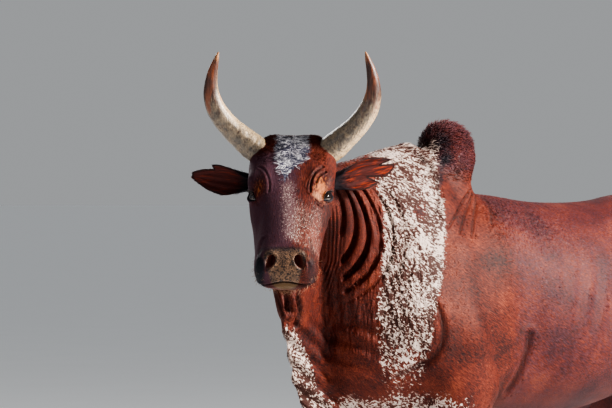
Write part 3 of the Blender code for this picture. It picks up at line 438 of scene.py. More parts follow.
def mesh_object(name, points, faces):
    """A mesh object whose faces point out."""
    mesh = bpy.data.meshes.new(name)
    mesh.from_pydata([tuple(p) for p in points], [], faces)
    return face_out(linked(name, mesh))


def remove(thing):
    bpy.data.objects.remove(thing, do_unlink=True)


def apply_modifiers(thing):
    """Gives the object its evaluated mesh."""
    bpy.context.view_layer.update()
    graph = bpy.context.evaluated_depsgraph_get()
    mesh = bpy.data.meshes.new_from_object(thing.evaluated_get(graph))
    thing.modifiers.clear()
    thing.data = mesh
    return thing


def cut(thing, other):
    """Cuts other out of the mesh. Other is then removed."""
    modifier = thing.modifiers.new("cut", "BOOLEAN")
    modifier.operation = "DIFFERENCE"
    modifier.solver = "EXACT"
    modifier.object = other
    apply_modifiers(thing)
    remove(other)


def coordinates(mesh):
    values = np.empty(len(mesh.vertices) * 3, np.float32)
    mesh.vertices.foreach_get("co", values)
    return values.reshape(-1, 3).astype(float)


def set_coordinates(mesh, points):
    mesh.vertices.foreach_set("co", points.astype(np.float32).ravel())
    mesh.update()


def normals(mesh):
    values = np.empty(len(mesh.vertices) * 3, np.float32)
    mesh.vertex_normals.foreach_get("vector", values)
    return values.reshape(-1, 3).astype(float)


def relax(mesh, passes, weight):
    """Evens out the creases between fused lofts, by each point's weight."""
    ends = np.empty(len(mesh.edges) * 2, np.int32)
    mesh.edges.foreach_get("vertices", ends)
    first, second = ends.reshape(-1, 2).T
    points = coordinates(mesh)
    count = np.bincount(ends, minlength=len(points))[:, None]
    for _ in range(passes):
        total = np.zeros_like(points)
        for axis in range(3):
            total[:, axis] = np.bincount(
                first, points[second, axis], len(points)
            ) + np.bincount(second, points[first, axis], len(points))
        points += weight[:, None] * (total / count - points)
    set_coordinates(mesh, points)


def ease(values, low, high):
    """0 below low, 1 above high and smooth between."""
    share = np.clip((values - low) / (high - low), 0, 1)
    return share * share * (3 - 2 * share)


def unit(ways):
    """The same directions, each as long as 1."""
    return ways / np.linalg.norm(ways, axis=1)[:, None]


def bump(offsets, reach):
    """1 where the offsets are zero, falling off round about over the reach each way."""
    return np.exp(-((offsets / reach) ** 2).sum(axis=1))


def bell(values, middle, reach):
    """1 where the values are middle, falling off to both sides over the reach."""
    return np.exp(-(((values - middle) / reach) ** 2))


# The middle of the head in its own frame, and how far round it the head's forms reach
HEAD_MIDDLE = (0, 0.2, -0.1)
HEAD_REACH = 0.45


def swell(points):
    """How far each point moves along its normal for the muscles, bones and folds."""
    height = np.zeros(len(points))
    head = in_head(points)
    head[:, 0] = np.abs(head[:, 0])
    near = np.linalg.norm(head - HEAD_MIDDLE, axis=1) < HEAD_REACH
    for *place, a, b, c, rise in HEAD_FORMS:
        height += near * rise * bump(head - place, (a, b, c))
    body = points.copy()
    body[:, 0] = np.abs(body[:, 0])
    for *place, a, b, c, rise in BODY_FORMS:
        height += rise * bump(body - place, (a, b, c))
    return height + neck_folds(points)


def fuse(name, lofts):
    """One rounded skin round all the lofts."""
    points, faces, start = [], [], 0
    for rows in lofts:
        more, rings = loft(rows)
        points.append(more)
        faces += [tuple(start + i for i in face) for face in rings]
        start += len(more)
    whole = mesh_object(name, np.vstack(points), faces)
    remesh = whole.modifiers.new("fuse", "REMESH")
    remesh.mode = "VOXEL"
    remesh.voxel_size = VOXEL
    apply_modifiers(whole)
    mesh = whole.data
    points = coordinates(mesh)
    dewlap_edge = ease(-points[:, 1], 0.40, 0.50) * (1 - ease(points[:, 2], 1.0, 1.1))
    on_head = ease(in_head(points)[:, 1], 0.0, 0.08)
    shanks = 1 - ease(points[:, 2], 0.35, 0.55)
    spared = np.maximum.reduce([dewlap_edge, HEAD_SPARED * on_head, SHANKS_SPARED * shanks])
    relax(mesh, ROUNDING_PASSES, ROUNDING_WEIGHT * (1 - MOST_SPARED * spared))
    points = coordinates(mesh)
    set_coordinates(mesh, points + normals(mesh) * swell(points)[:, None])
    return whole


# Small tools for meshes
def face_out(thing):
    shell = bmesh.new()
    shell.from_mesh(thing.data)
    bmesh.ops.recalc_face_normals(shell, faces=shell.faces)
    shell.to_mesh(thing.data)
    shell.free()
    return thing


def placed(made, origin, axes):
    """Gives a mesh built on X, Y and Z its place and its three axes."""
    turned = coordinates(made.data) @ np.array(axes)
    set_coordinates(made.data, turned + np.array(origin))
    return face_out(made)


def primitive(name, add, **settings):
    add(**settings)
    made = bpy.context.object
    made.name = made.data.name = name
    return made


def ellipsoid(name, origin, axes, radii, segments, rings):
    """A sphere stretched along three axes."""
    add = bpy.ops.mesh.primitive_uv_sphere_add
    made = primitive(name, add, segments=segments, ring_count=rings, radius=1)
    set_coordinates(made.data, coordinates(made.data) * np.array(radii))
    return placed(made, origin, axes)


def prism(name, origin, axes, outline, start, end):
    """An outline along the first two axes, run along the third."""
    count = len(outline)
    points = [(a, b, c) for c in (start, end) for a, b in outline]
    sides = [(i, (i + 1) % count, count + (i + 1) % count, count + i) for i in range(count)]
    ends = [tuple(range(count)), tuple(range(2 * count - 1, count - 1, -1))]
    return placed(mesh_object(name, points, sides + ends), origin, axes)


def frame_from(outward, towards):
    """Three axes: towards as far as outward lets it, across both, and outward."""
    outward = outward.normalized()
    first = (towards - outward * towards.dot(outward)).normalized()
    return first, outward.cross(first), outward


def eye_centre(side):
    return from_head(side * EYE_PLACE.x, EYE_PLACE.y, EYE_PLACE.z)


def eye_axes(side):
    """Along the slit of the eye, across it, and out of the head."""
    out = ACROSS * side * EYE_OUTWARD.x + ALONG * EYE_OUTWARD.y + UP * EYE_OUTWARD.z
    return frame_from(out, LEVEL - Vector((0, 0, EYE_SLANT)))


# Horns
HORN_PATH = (
    # across, forward and up from the poll, then the radius
    (0.070, 0.008, -0.058, 0.0310),
    (0.106, 0.000, -0.032, 0.0372),
    (0.137, 0.008, -0.006, 0.0340),
    (0.173, 0.018, 0.027, 0.0300),
    (0.203, 0.030, 0.067, 0.0272),
    (0.217, 0.040, 0.105, 0.0230),
    (0.219, 0.047, 0.138, 0.0182),
    (0.214, 0.053, 0.172, 0.0138),
    (0.205, 0.058, 0.204, 0.0080),
    (0.198, 0.060, 0.226, 0.0018),
)


# Ears
EAR_ROOT = (0.098, 0.088, -0.092)
EAR_LENGTH = 0.200
EAR_CURL = 0.010
EAR_SECTIONS = (
    # share of the length, radius of the cup and half its opening angle
    (0.00, 0.019, 150),
    (0.14, 0.023, 128),
    (0.28, 0.030, 100),
    (0.44, 0.040, 77),
    (0.58, 0.046, 61),
    (0.72, 0.047, 49),
    (0.84, 0.047, 35),
    (0.93, 0.047, 23),
    (1.00, 0.047, 9),
)

EAR_AIM = {1: Vector((0.172, -0.080, 0.050)), -1: Vector((-0.180, -0.070, 0.020))}
# The marks cut out of each ear: along it from the root, then up across it
EAR_MARKS = {
    1: (
        ((0.160, 0.008), (0.230, 0.020), (0.230, -0.004)),
        ((0.118, -0.016), (0.230, -0.040), (0.195, -0.072)),
    ),
    -1: (((0.134, 0.024), (0.168, 0.020), (0.215, 0.004), (0.215, 0.080), (0.131, 0.080)),),
}


def ear_axes(side):
    """Along the ear, up across it, and out of its cup."""
    aim = EAR_AIM[side]
    along = (ACROSS * aim.x + LEVEL * aim.y + Vector((0, 0, aim.z))).normalized()
    facing = LEVEL + ACROSS * side * 0.2 - Vector((0, 0, 0.25))
    facing = (facing - along * facing.dot(along)).normalized()
    upward = facing.cross(along) * side
    return along, upward if upward.z > 0 else -upward, facing


def ear_root(side):
    return from_head(side * EAR_ROOT[0], EAR_ROOT[1], EAR_ROOT[2])


# Feet
CORONET = 0.062
CORONET_SLOPE = math.radians(20)
CLAW_OFFSET = 0.0212
CLAW = (
    # height, then half width and reach fore and aft
    (0.000, 0.0200, 0.070, 0.046),
    (0.035, 0.0204, 0.058, 0.048),
    (0.065, 0.0196, 0.045, 0.048),
    (0.110, 0.0185, 0.030, 0.045),
)
# Where a dewclaw is from the middle of its foot, and its radii
DEWCLAW = (0.019, 0.042, 0.118)
DEWCLAW_RADII = (0.0120, 0.0135, 0.0180)


def foot_centre(name):
    """Where the middle of a foot stands."""
    rows, side, step, pivot = LEGS[name]
    z, x, y, *_ = rows[-2]
    return Vector((side * x, y + step * (1 - z / pivot), 0))


# Tail
TAIL_PATH = (
    # place, then the radius
    (0, 0.920, 1.150, 0.036),
    (0, 0.975, 1.165, 0.034),
    (0, 1.022, 1.125, 0.030),
    (0, 1.044, 1.030, 0.025),
    (0, 1.046, 0.910, 0.021),
    (0, 1.042, 0.790, 0.0175),
    (0, 1.038, 0.690, 0.0150),
    (0, 1.036, 0.640, 0.0140),
    (0, 1.036, 0.600, 0.0135),
)
SWITCH_LENGTH = 0.33
# How far the skin lies under the tips of the coat, on the body and on the face
COAT_DEPTH = 0.0035
FACE_DEPTH = 0.0012

# Folds of the neck: how far apart and how high they are, where and how much they bow, and their gaps
FOLD_SPACING = 0.047
FOLD_START = 0.0165
FOLD_HEIGHT = 0.0125
FOLD_MIDDLE = 1.15
FOLD_BOW = 3.0
FOLD_GAP = 0.019

# Creases on the head: width, depth, then their line across and along
HEAD_CREASES = (
    (0.0030, 0.0034, ((0.086, 0.126), (0.073, 0.142), (0.060, 0.172), (0.055, 0.200), (0.056, 0.222))),
    (0.0060, 0.0030, ((0.062, 0.400), (0.070, 0.432), (0.072, 0.468))),
)
# More of them on the left side of the head, which is the side it turns to
LEFT_CREASES = (
    (0.0026, 0.0036, ((0.094, 0.145), (0.083, 0.157), (0.074, 0.174), (0.070, 0.190))),
    (0.0022, 0.0015, ((0.066, 0.152), (0.052, 0.176), (0.046, 0.205))),
    (0.0022, 0.0020, ((0.086, 0.240), (0.078, 0.246), (0.070, 0.243))),
    (0.0022, 0.0018, ((0.092, 0.246), (0.084, 0.256), (0.075, 0.256))),
)
# How much weaker the creases are on the right side
RIGHT_SHARE = 0.45

# Creases of the throat: width, depth, then their line across the view and up
THROAT_CREASES = (
    (0.0080, 0.0180, ((-0.441, 0.992), (-0.4305, 0.962), (-0.424, 0.928))),
    (0.0060, 0.0110, ((-0.390, 1.000), (-0.398, 0.963), (-0.394, 0.926), (-0.401, 0.885))),
    (0.0045, 0.0060, ((-0.462, 0.985), (-0.450, 0.950), (-0.440, 0.915))),
)
# The level direction across the main view, from its left to its right
VIEW = np.array((0.669, 0.743))
# Rows on each stretch of a crease, and how high and how many widths aside its two lips are
CREASE_STEPS = 6
CREASE_LIP = 0.35
CREASE_LIP_ASIDE = 2.2

# Creases on the body: width, depth, then their line along y and up
BODY_CREASES = (
    (0.0036, 0.0017, ((0.045, 1.252), (0.000, 1.225), (-0.060, 1.190), (-0.120, 1.150))),
    (0.0036, 0.0015, ((0.062, 1.246), (0.020, 1.215), (-0.030, 1.180), (-0.085, 1.135))),
    (0.0040, 0.0014, ((0.090, 1.247), (0.050, 1.215), (0.005, 1.175), (-0.040, 1.125))),
    (0.0040, 0.0011, ((0.125, 1.246), (0.095, 1.205), (0.060, 1.160))),
    (0.0060, 0.0040, ((-0.150, 1.360), (-0.105, 1.300), (-0.115, 1.240), (-0.150, 1.190))),
    (0.0090, 0.0060, ((-0.215, 0.930), (-0.205, 0.850), (-0.235, 0.780), (-0.300, 0.740))),
    (0.0090, 0.0050, ((0.100, 0.690), (0.120, 0.760), (0.135, 0.850))),
    (0.0100, 0.0060, ((0.600, 0.690), (0.640, 0.760), (0.660, 0.840))),
)


def neck_folds(points, gap=0.0):
    """Loose skin bunched in upright rolls behind the jaw, on the side that the head turns to."""
    x, y, z = points.T
    across, along_head, _ = in_head(points).T
    phase = (y + FOLD_START + FOLD_BOW * (z - FOLD_MIDDLE) ** 2) / FOLD_SPACING
    wave = np.abs(np.cos(math.pi * (phase + 0.10 * np.sin(11 * z + 16 * y))))
    roll = wave**0.7 - 0.6
    valley = bell(wave, 0, 0.30)
    behind_jaw = np.maximum(ease(-along_head, -0.12, -0.05), ease(across, 0.121, 0.134))
    along = ease(y, -0.62, -0.55) * (1 - ease(y, -0.34, -0.20))
    tall = ease(z, 0.92, 1.06) * (1 - ease(z, 1.22, 1.31)) * (1 - 0.65 * ease(y, -0.435, -0.37))
    side = 0.3 + 0.7 * ease(x, 0.02, 0.09)
    return (FOLD_HEIGHT * roll - gap * valley) * along * tall * side * behind_jaw


def line_distance(points, line):
    """How far each point is from a line of straight stretches, in as many dimensions as both have."""
    nearest = np.full(len(points), np.inf)
    for start, end in zip(np.array(line)[:-1], np.array(line)[1:]):
        step = end - start
        share = np.clip((points - start) @ step / (step @ step), 0, 1)
        nearest = np.minimum(nearest, np.linalg.norm(points - start - share[:, None] * step, axis=1))
    return nearest


def creases(places, table):
    """How deep the creases are at flat places; the second value is the share of full depth."""
    depth, share = np.zeros(len(places)), np.zeros(len(places))
    for width, deep, line in table:
        reach = np.array(line)
        near = ((places > reach.min(0) - 4 * width) & (places < reach.max(0) + 4 * width)).all(axis=1)
        if near.any():
            gap = line_distance(places[near], smooth_rows(line, CREASE_STEPS)) / width
            depth[near] += deep * (bell(gap, 0, 1) - CREASE_LIP * bell(gap, CREASE_LIP_ASIDE, 1))
            share[near] = np.maximum(share[near], bell(gap, 0, 1))
    return depth, share


def head_share(points):
    """1 on the head, 0 on the neck."""
    head = in_head(points)
    forward = (head[:, 1] + 0.03) * 0.95 + (head[:, 2] - 0.02) * 0.311
    return ease(forward, -0.01, 0.03) * ease(head[:, 2], -0.33, -0.28)


# The middle of the fine folds along the jaw at each height, across the view
JOWL_HEIGHTS = (0.960, 1.058, 1.131, 1.215)
JOWL_MIDDLE = (-0.338, -0.304, -0.298, -0.303)

# Fine waves of the skin: how far apart their ridges are and how high they are
JOWL_FOLDS = (0.0106, 0.0015)
RIBS = (0.062, 0.0016)
KNEE_WRINKLES = (0.017, 0.0010)
CHEST_ROLLS = (0.050, 0.0035)
NECK_RIPPLES = (0.026, 0.0013)
BACK_RIPPLES = (0.024, 0.0004)
# The two tufts of the poll: how far apart, how far back and how high they are, and their reach
POLL_TUFTS = (0.050, 0.002, 0.0070, 0.026)


def jowl(points):
    """How much of the jaw's fine upright folds there is, and their ridges from -1 to 1."""
    seen, z = points[:, :2] @ VIEW, points[:, 2]
    off = seen - np.interp(z, JOWL_HEIGHTS, JOWL_MIDDLE)
    here = bell(off, 0, 0.021) * ease(z, 0.95, 1.00) * (1 - ease(z, 1.18, 1.22))
    here *= ease(-points[:, 1], 0.44, 0.50)
    bent = off + 0.0012 * np.sin(30 * z) + 0.0007 * np.sin(61 * z + 2)
    return here, np.cos(2 * math.pi * bent / JOWL_FOLDS[0])


def fine_forms(points):
    """How far each point moves out for the fine folds, and how much of a crease it is."""
    head = in_head(points)
    on_head = head_share(points)
    folded = np.c_[np.abs(head[:, 0]), head[:, 1]]
    face, face_share = creases(folded, HEAD_CREASES)
    weaker = np.where(head[:, 0] < 0, RIGHT_SHARE, 1.0)
    left, left_share = creases(head[:, :2], LEFT_CREASES)
    face, face_share = face * weaker + left, np.maximum(face_share * weaker, left_share)
    front = on_head * ease(head[:, 2], -0.13, -0.10)
    body, body_share = creases(points[:, 1:], BODY_CREASES)
    off_middle = (1 - on_head) * ease(np.abs(points[:, 0]), 0.03, 0.06)
    x, y, z = points.T
    seen = points[:, :2] @ VIEW
    on_throat = (1 - on_head) * ease(-y, 0.50, 0.58)
    throat, throat_share = creases(np.c_[seen, z], THROAT_CREASES)
    rise = -front * face - off_middle * body - on_throat * throat
    ribs = np.cos((y - 0.35 * z) * 2 * math.pi / RIBS[0])
    rise += RIBS[1] * ribs * bump(np.c_[y - 0.36, z - 0.92], (0.17, 0.16)) * (np.abs(x) > 0.1)
    knee = np.cos(z * 2 * math.pi / KNEE_WRINKLES[0])
    rise += KNEE_WRINKLES[1] * knee * bump(np.c_[y + 0.09, z - 0.375], (0.08, 0.035)) * (y < 0.2)
    chest = np.cos(2 * math.pi * (z + 0.5 * y) / CHEST_ROLLS[0] + 6 * x)
    rise += CHEST_ROLLS[1] * chest * (1 - on_head) * ease(-y, 0.30, 0.42) * (1 - ease(z, 0.86, 0.93))
    loose = (1 - on_head) * ease(-y, 0.18, 0.30) * ease(z, 0.80, 0.95) * (1 - ease(z, 1.33, 1.38))
    bent = y + 0.30 * z + 0.02 * np.sin(9 * z + 30 * y)
    rise += NECK_RIPPLES[1] * np.cos(2 * math.pi * bent / NECK_RIPPLES[0]) * loose
    bent = y + 0.25 * (z - 1.2) + 0.004 * np.sin(40 * x + 25 * y)
    across_back = np.cos(2 * math.pi * bent / BACK_RIPPLES[0])
    rise += (
        BACK_RIPPLES[1] * across_back * ease(y, 0.06, 0.12) * (1 - ease(y, 0.25, 0.60)) * ease(z, 1.10, 1.20)
    )
    apart, behind, high, reach = POLL_TUFTS
    tufted = np.c_[np.abs(head[:, 0]) - apart, head[:, 1] + behind]
    rise += high * bump(tufted, (reach, reach)) * (head[:, 2] > -0.05)
    along_jaw, ridges = jowl(points)
    rise += JOWL_FOLDS[1] * along_jaw * ridges
    share = np.maximum(0.6 * front * face_share, 0.7 * off_middle * body_share)
    share = np.maximum(share, 0.6 * along_jaw * ease(-ridges, 0.2, 1.0))
    return rise, np.maximum(share, 0.8 * on_throat * throat_share)


def refine(thing, inside):
    """Splits every edge whose two ends are inside, and rounds what was split."""
    shell = bmesh.new()
    shell.from_mesh(thing.data)
    chosen = inside(coordinates(thing.data))
    edges = [edge for edge in shell.edges if chosen[edge.verts[0].index] and chosen[edge.verts[1].index]]
    bmesh.ops.subdivide_edges(shell, edges=edges, cuts=1, use_grid_fill=True)
    shell.to_mesh(thing.data)
    shell.free()
    relax(thing.data, REFINING_PASSES, inside(coordinates(thing.data)) * REFINING_WEIGHT)


def eye_local(points, side):
    """Along the slit, across it and out, from the middle of the eyeball."""
    axes = np.array(eye_axes(side))
    return (points - np.array(eye_centre(side))) @ axes.T


def nostril_axes(side):
    out = ACROSS * side * 0.55 + ALONG * 0.80 + UP * 0.30
    return frame_from(out, UP + ACROSS * side * 0.45)


def nostril_local(points, side):
    """Along the comma of the nostril, across it and out."""
    axes = np.array(nostril_axes(side))
    place = from_head(side * NOSTRIL.x, NOSTRIL.y, NOSTRIL.z)
    return (points - np.array(place)) @ axes.T


def over_lips(head):
    """How high each point is over the line of the lips, and 1 where the muzzle can be parted."""
    side = (np.abs(head[:, 0]) / MOUTH_HALF_WIDTH) ** (1 / 0.7)
    ahead = (np.maximum(head[:, 1] - MOUTH_CORNER[0], 0) / MOUTH_LENGTH) ** (1 / 0.7)
    sine = side / (np.hypot(side, ahead) + WELD)
    line = MOUTH_FRONT + (MOUTH_CORNER[1] - MOUTH_FRONT) * sine**1.5
    here = ease(head[:, 1], 0.372, 0.390) * (head[:, 2] < 0.0) * (np.abs(head[:, 0]) < 0.12)
    return head[:, 2] - line, here


# The opening of the lids in radians, how far from the eye's middle their edge and the floor behind the
# eyeball are, and how high the rolls and the wrinkles of the lids are
SLIT_HALF = 0.92
SLIT_UPPER = 0.50
SLIT_LOWER = 0.42
LID_EDGE = 0.0222
SOCKET_FLOOR = 0.0145
LID_ROLL = 0.0022
LID_WRINKLE = 0.0012


def slit(spot, side):
    """The angles of a place along and across the slit, and how far past the lids' edge it is."""
    u = np.arctan2(spot[:, 0], spot[:, 2])
    v = np.arctan2(spot[:, 1], spot[:, 2])
    upper = -1 if eye_axes(side)[1].z < 0 else 1
    half = np.where(v * upper > 0, SLIT_UPPER, SLIT_LOWER)
    opening = half * np.sqrt(np.clip(1 - (u / SLIT_HALF) ** 2, 0, 1)) ** 0.85
    return u, v, opening


def open_eye(points, side):
    """Shapes the lids: points inside the slit drop behind the eyeball, the others round it."""
    local = eye_local(points, side)
    radius = np.linalg.norm(local, axis=1)
    near = (local[:, 2] > 0.004) & (radius < 0.048)
    spot, reach = local[near], radius[near]
    u, v, opening = slit(spot, side)
    beyond = np.abs(v) - opening
    inside = (beyond < 0) & (np.abs(u) < SLIT_HALF)
    lid = LID_EDGE + LID_ROLL * ease(beyond, 0.0, 0.12) - LID_ROLL * bell(beyond, 0.34, 0.06)
    lid += LID_WRINKLE * bell(beyond, 0.20, 0.07) - LID_WRINKLE * bell(beyond, 0.58, 0.05)
    around = np.sqrt(u**2 + (v * 1.1) ** 2)
    hold = 1 - ease(around, 0.80, 1.28)
    target = np.where(inside, SOCKET_FLOOR, reach + (lid - reach) * hold)
    snapped = np.abs(beyond) < 0.016
    v = np.where(snapped & (np.abs(u) < SLIT_HALF * 0.97), np.sign(v) * opening, v)
    target = np.where(snapped & (hold > 0), LID_EDGE, target)
    way = unit(np.c_[np.tan(u), np.tan(v), np.ones(len(u))])
    axes = np.array(eye_axes(side))
    moved = points.copy()
    moved[near] = np.array(eye_centre(side)) + (way * target[:, None]) @ axes
    return moved


# How deep, long and wide half a nostril is, and how high its rim is
NOSTRIL_DEEP = 0.021
NOSTRIL_LONG = 0.0175
NOSTRIL_WIDE = 0.0122
NOSTRIL_RIM = 0.0024


def nostril_ring(points, side):
    """0 in the middle of a nostril and 1 at its edge, which is bent like a comma."""
    local = nostril_local(points, side)
    along = local[:, 0] / NOSTRIL_LONG
    over = (local[:, 1] * side - 0.0030 + 0.0050 * along**2) / NOSTRIL_WIDE
    return np.sqrt(along**2 + over**2 + np.maximum(0, np.abs(local[:, 2]) / 0.030 - 1) ** 2)


def open_nostrils(points):
    """Hollows the two comma-shaped nostrils and raises their rims."""
    moved = points.copy()
    for side in (1, -1):
        ring = nostril_ring(moved, side)
        near = np.linalg.norm(nostril_local(moved, side), axis=1) < 0.040
        push = -NOSTRIL_DEEP * (1 - ease(ring, 0.45, 1.0)) + NOSTRIL_RIM * bell(ring, 1.25, 0.28)
        out = np.array(nostril_axes(side)[2])
        moved += np.outer(push * near, out)
    return moved


# How many triangles the finished skin has
SKIN_TRIANGLES = 330000
# The rolls of the lips and the line between them: how high each is, how far over the line, and how wide
LIP_ROLLS = ((0.0026, 0.0080, 0.0055), (-0.0062, 0, 0.0021), (0.0016, -0.0120, 0.0070))


def skin():
    """One skin over the whole animal, finer on the head and the neck."""
    lofts = [trunk(), neck(), hump(), skull(), dewlap(), sheath(), scrotum()]
    lofts += [stepped(*LEGS[name]) for name in LEGS]
    lofts += [lid_dome(1), lid_dome(-1)]
    whole = fuse("skin", lofts)
    refine(whole, on_forepart)
    refine(whole, on_features)
    refine(whole, on_edges)
    points = coordinates(whole.data)
    rise, _ = fine_forms(points)
    rise += neck_folds(points, FOLD_GAP) - neck_folds(points)
    over, parted = over_lips(in_head(points))
    rise += sum(high * bell(over, middle, wide) for high, middle, wide in LIP_ROLLS) * parted
    depth = COAT_DEPTH + (FACE_DEPTH - COAT_DEPTH) * head_share(points)
    points = points + normals(whole.data) * (rise - depth)[:, None]
    for side in (1, -1):
        points = open_eye(points, side)
    points = open_nostrils(points)
    set_coordinates(whole.data, points)
    fewer = whole.modifiers.new("fewer", "DECIMATE")
    fewer.ratio = SKIN_TRIANGLES / len(triangles(whole.data))
    apply_modifiers(whole)
    return whole


def on_forepart(points):
    """The head, the neck and the withers."""
    y, z = points[:, 1], points[:, 2]
    return (y < 0.10) & (z > 0.95) | (y < -0.42)


def on_features(points):
    """The brows, the eyes and the muzzle, and the folds of the neck."""
    across, along, up = head_places(points)
    brow = bump(np.c_[across - 0.085, along - 0.19, up + 0.03], (0.075, 0.12, 0.10)) > 0.37
    muzzle = (along > 0.375) & (up > -0.24)
    x, y, z = points.T
    folds = (x > 0) & (y > -0.60) & (y < -0.33) & (z > 0.95) & (z < 1.28) & (along < 0.14)
    return brow | muzzle | folds | (jowl(points)[0] > 0.35)


def on_edges(points):
    """Round the slits of the eyes, the nostrils and the line of the lips."""
    found = np.zeros(len(points), bool)
    for side in (1, -1):
        found |= np.linalg.norm(eye_local(points, side) - (0, 0, 0.016), axis=1) < 0.026
        found |= np.linalg.norm(nostril_local(points, side), axis=1) < 0.026
    over, parted = over_lips(in_head(points))
    found |= (np.abs(over) < 0.008) & (parted > 0)
    return found


# How far the cornea stands out
CORNEA_RISE = 0.0011


def eyeball(side):
    """The eye, with the cornea's low dome."""
    name = f"eye_{WORDS[side]}_ball"
    made = primitive(name, bpy.ops.mesh.primitive_uv_sphere_add, segments=64, ring_count=48, radius=1)
    points = coordinates(made.data)
    off_axis = np.arccos(np.clip(points[:, 2], -1, 1))
    dome = CORNEA_RISE * (1 - ease(off_axis, 0.30, 0.85))
    attach(made, "gaze", points)
    set_coordinates(made.data, points * (EYE_RADIUS + dome)[:, None])
    return placed(made, eye_centre(side), eye_axes(side))


def grid_mesh(name, grid, closed=True):
    """A mesh over rows of points, each row a ring if closed, with its two ends filled."""
    rows, wide, _ = grid.shape
    faces = []
    for i in range(rows - 1):
        for k in range(wide if closed else wide - 1):
            here, beside = i * wide + k, i * wide + (k + 1) % wide
            faces.append((here, beside, beside + wide, here + wide))
    if closed:
        last = (rows - 1) * wide
        faces += [tuple(range(wide)), tuple(range(last + wide - 1, last - 1, -1))]
    return mesh_object(name, grid.reshape(-1, 3), faces)


def tube_frames(path):
    """Two axes across a path at each point, which turn as little as they can."""
    ways = unit(np.gradient(path, axis=0))
    first = np.cross(ways[0], (0.0, 1.0, 0.0))
    firsts = []
    for way in ways:
        first = first - way * (first @ way)
        first = first / np.linalg.norm(first)
        firsts.append(first)
    return np.array(firsts), np.cross(ways, firsts)


def ring_turns(sides):
    """The angles of the points of a ring, as one row."""
    return np.linspace(0, 2 * math.pi, sides, endpoint=False)[None, :]


def tube_grid(path, turn, size):
    """Rings of points round a path, each point as far from it as its size says."""
    first, second = tube_frames(path)
    return path[:, None] + size * (
        np.cos(turn)[..., None] * first[:, None] + np.sin(turn)[..., None] * second[:, None]
    )


# Points round a horn and rows on each stretch of it, its growth rings and how high they and its fibres are
HORN_SIDES = 56
HORN_STEPS = 14
HORN_RINGS = 13
HORN_RING_RISE = 0.0012
HORN_FIBRE_RISE = 0.00022


def horn(side):
    """A ringed root, fibres that run to the tip, and a slight twist."""
    rows = [(*from_poll(side * a, forward, up), radius) for a, forward, up, radius in HORN_PATH]
    rows = smooth_rows(rows, HORN_STEPS)
    path, radius = rows[:, :3], rows[:, 3]
    share = np.linspace(0, 1, len(rows))[:, None]
    turn = ring_turns(HORN_SIDES)
    wobble = 0.25 * np.sin(2 * turn + 3) + 0.18 * np.sin(3 * turn + 9 * share)
    rings = np.abs(np.sin(math.pi * (HORN_RINGS * share**0.8 + wobble))) ** 0.6 - 0.7
    rise = HORN_RING_RISE * rings * (1 - ease(share, 0.18, 0.55))
    fibres = np.sin(11 * turn + 5 * share) + 0.7 * np.sin(17 * turn - 7 * share + 1)
    rise = rise + HORN_FIBRE_RISE * fibres * (1 - ease(share, 0.5, 0.9)) - 0.0004
    size = (radius[:, None] + rise * np.minimum(1, radius[:, None] / 0.02))[..., None]
    grid = tube_grid(path, turn, size)
    made = grid_mesh(f"horn_{WORDS[side]}_sheath", grid)
    outer = (grid - path[:, None]) / size @ (np.array(ACROSS) * side * 0.75 - np.array((0, 0, 0.65)))
    # the third value grows towards the side that faces the light, where the cream strip and its painted
    # highlight go
    facts = np.stack([np.broadcast_to(share, outer.shape), outer, side * outer], -1)
    attach(made, "place", facts.reshape(-1, 3))
    made.data.shade_smooth()
    return made


# Rows on each stretch of an ear, columns on each half of it, and how thick it is
EAR_ROWS = 9
EAR_COLUMNS = 24
EAR_WALL = 0.0024


def ear(side):
    """A cup rolled nearly shut at its root, with low ridges inside and its marks cut out."""
    root, axes = ear_root(side), ear_axes(side)
    rows = smooth_rows(EAR_SECTIONS, EAR_ROWS)
    share, radius, half_angle = rows.T[:, :, None]
    turn = np.linspace(-1, 1, 2 * EAR_COLUMNS + 1)[None, :]
    angle = np.radians(half_angle) * turn
    ridges = 0.0012 * np.cos(5 * math.pi * turn) * ease(share, 0.12, 0.3) * (1 - ease(share, 0.75, 0.95))
    ripple = 0.0010 * np.sin(23 * share + 4 * turn) * ease(np.abs(turn), 0.6, 1.0)
    out = radius * (1 - np.cos(angle)) - EAR_SECTIONS[0][1] + EAR_CURL * share**2 + ridges + ripple
    grid = np.stack([share * EAR_LENGTH + 0 * turn, radius * np.sin(angle), out], -1)
    sheet = grid_mesh(f"ear_{WORDS[side]}_cup", grid, closed=False)
    walls = sheet.modifiers.new("walls", "SOLIDIFY")
    walls.thickness = EAR_WALL
    walls.offset = 0
    apply_modifiers(sheet)
    face_out(sheet)
    for outline in EAR_MARKS[side]:
        cut(sheet, prism("mark", (0, 0, 0), SQUARE, outline, -EAR_LENGTH, EAR_LENGTH))
    attach(sheet, "place", coordinates(sheet.data))
    made = placed(sheet, root, axes)
    made.data.shade_smooth()
    return made


SQUARE = (Vector((1, 0, 0)), Vector((0, 1, 0)), Vector((0, 0, 1)))


# Points round a claw and rows on each stretch of it, how square it is, and how deep and how far apart
# its growth rings are
CLAW_SIDES = 40
CLAW_STEPS = 12
CLAW_SQUARE = 2.6
CLAW_RING_DEPTH = 0.012
CLAW_RING_SPACING = 0.0095


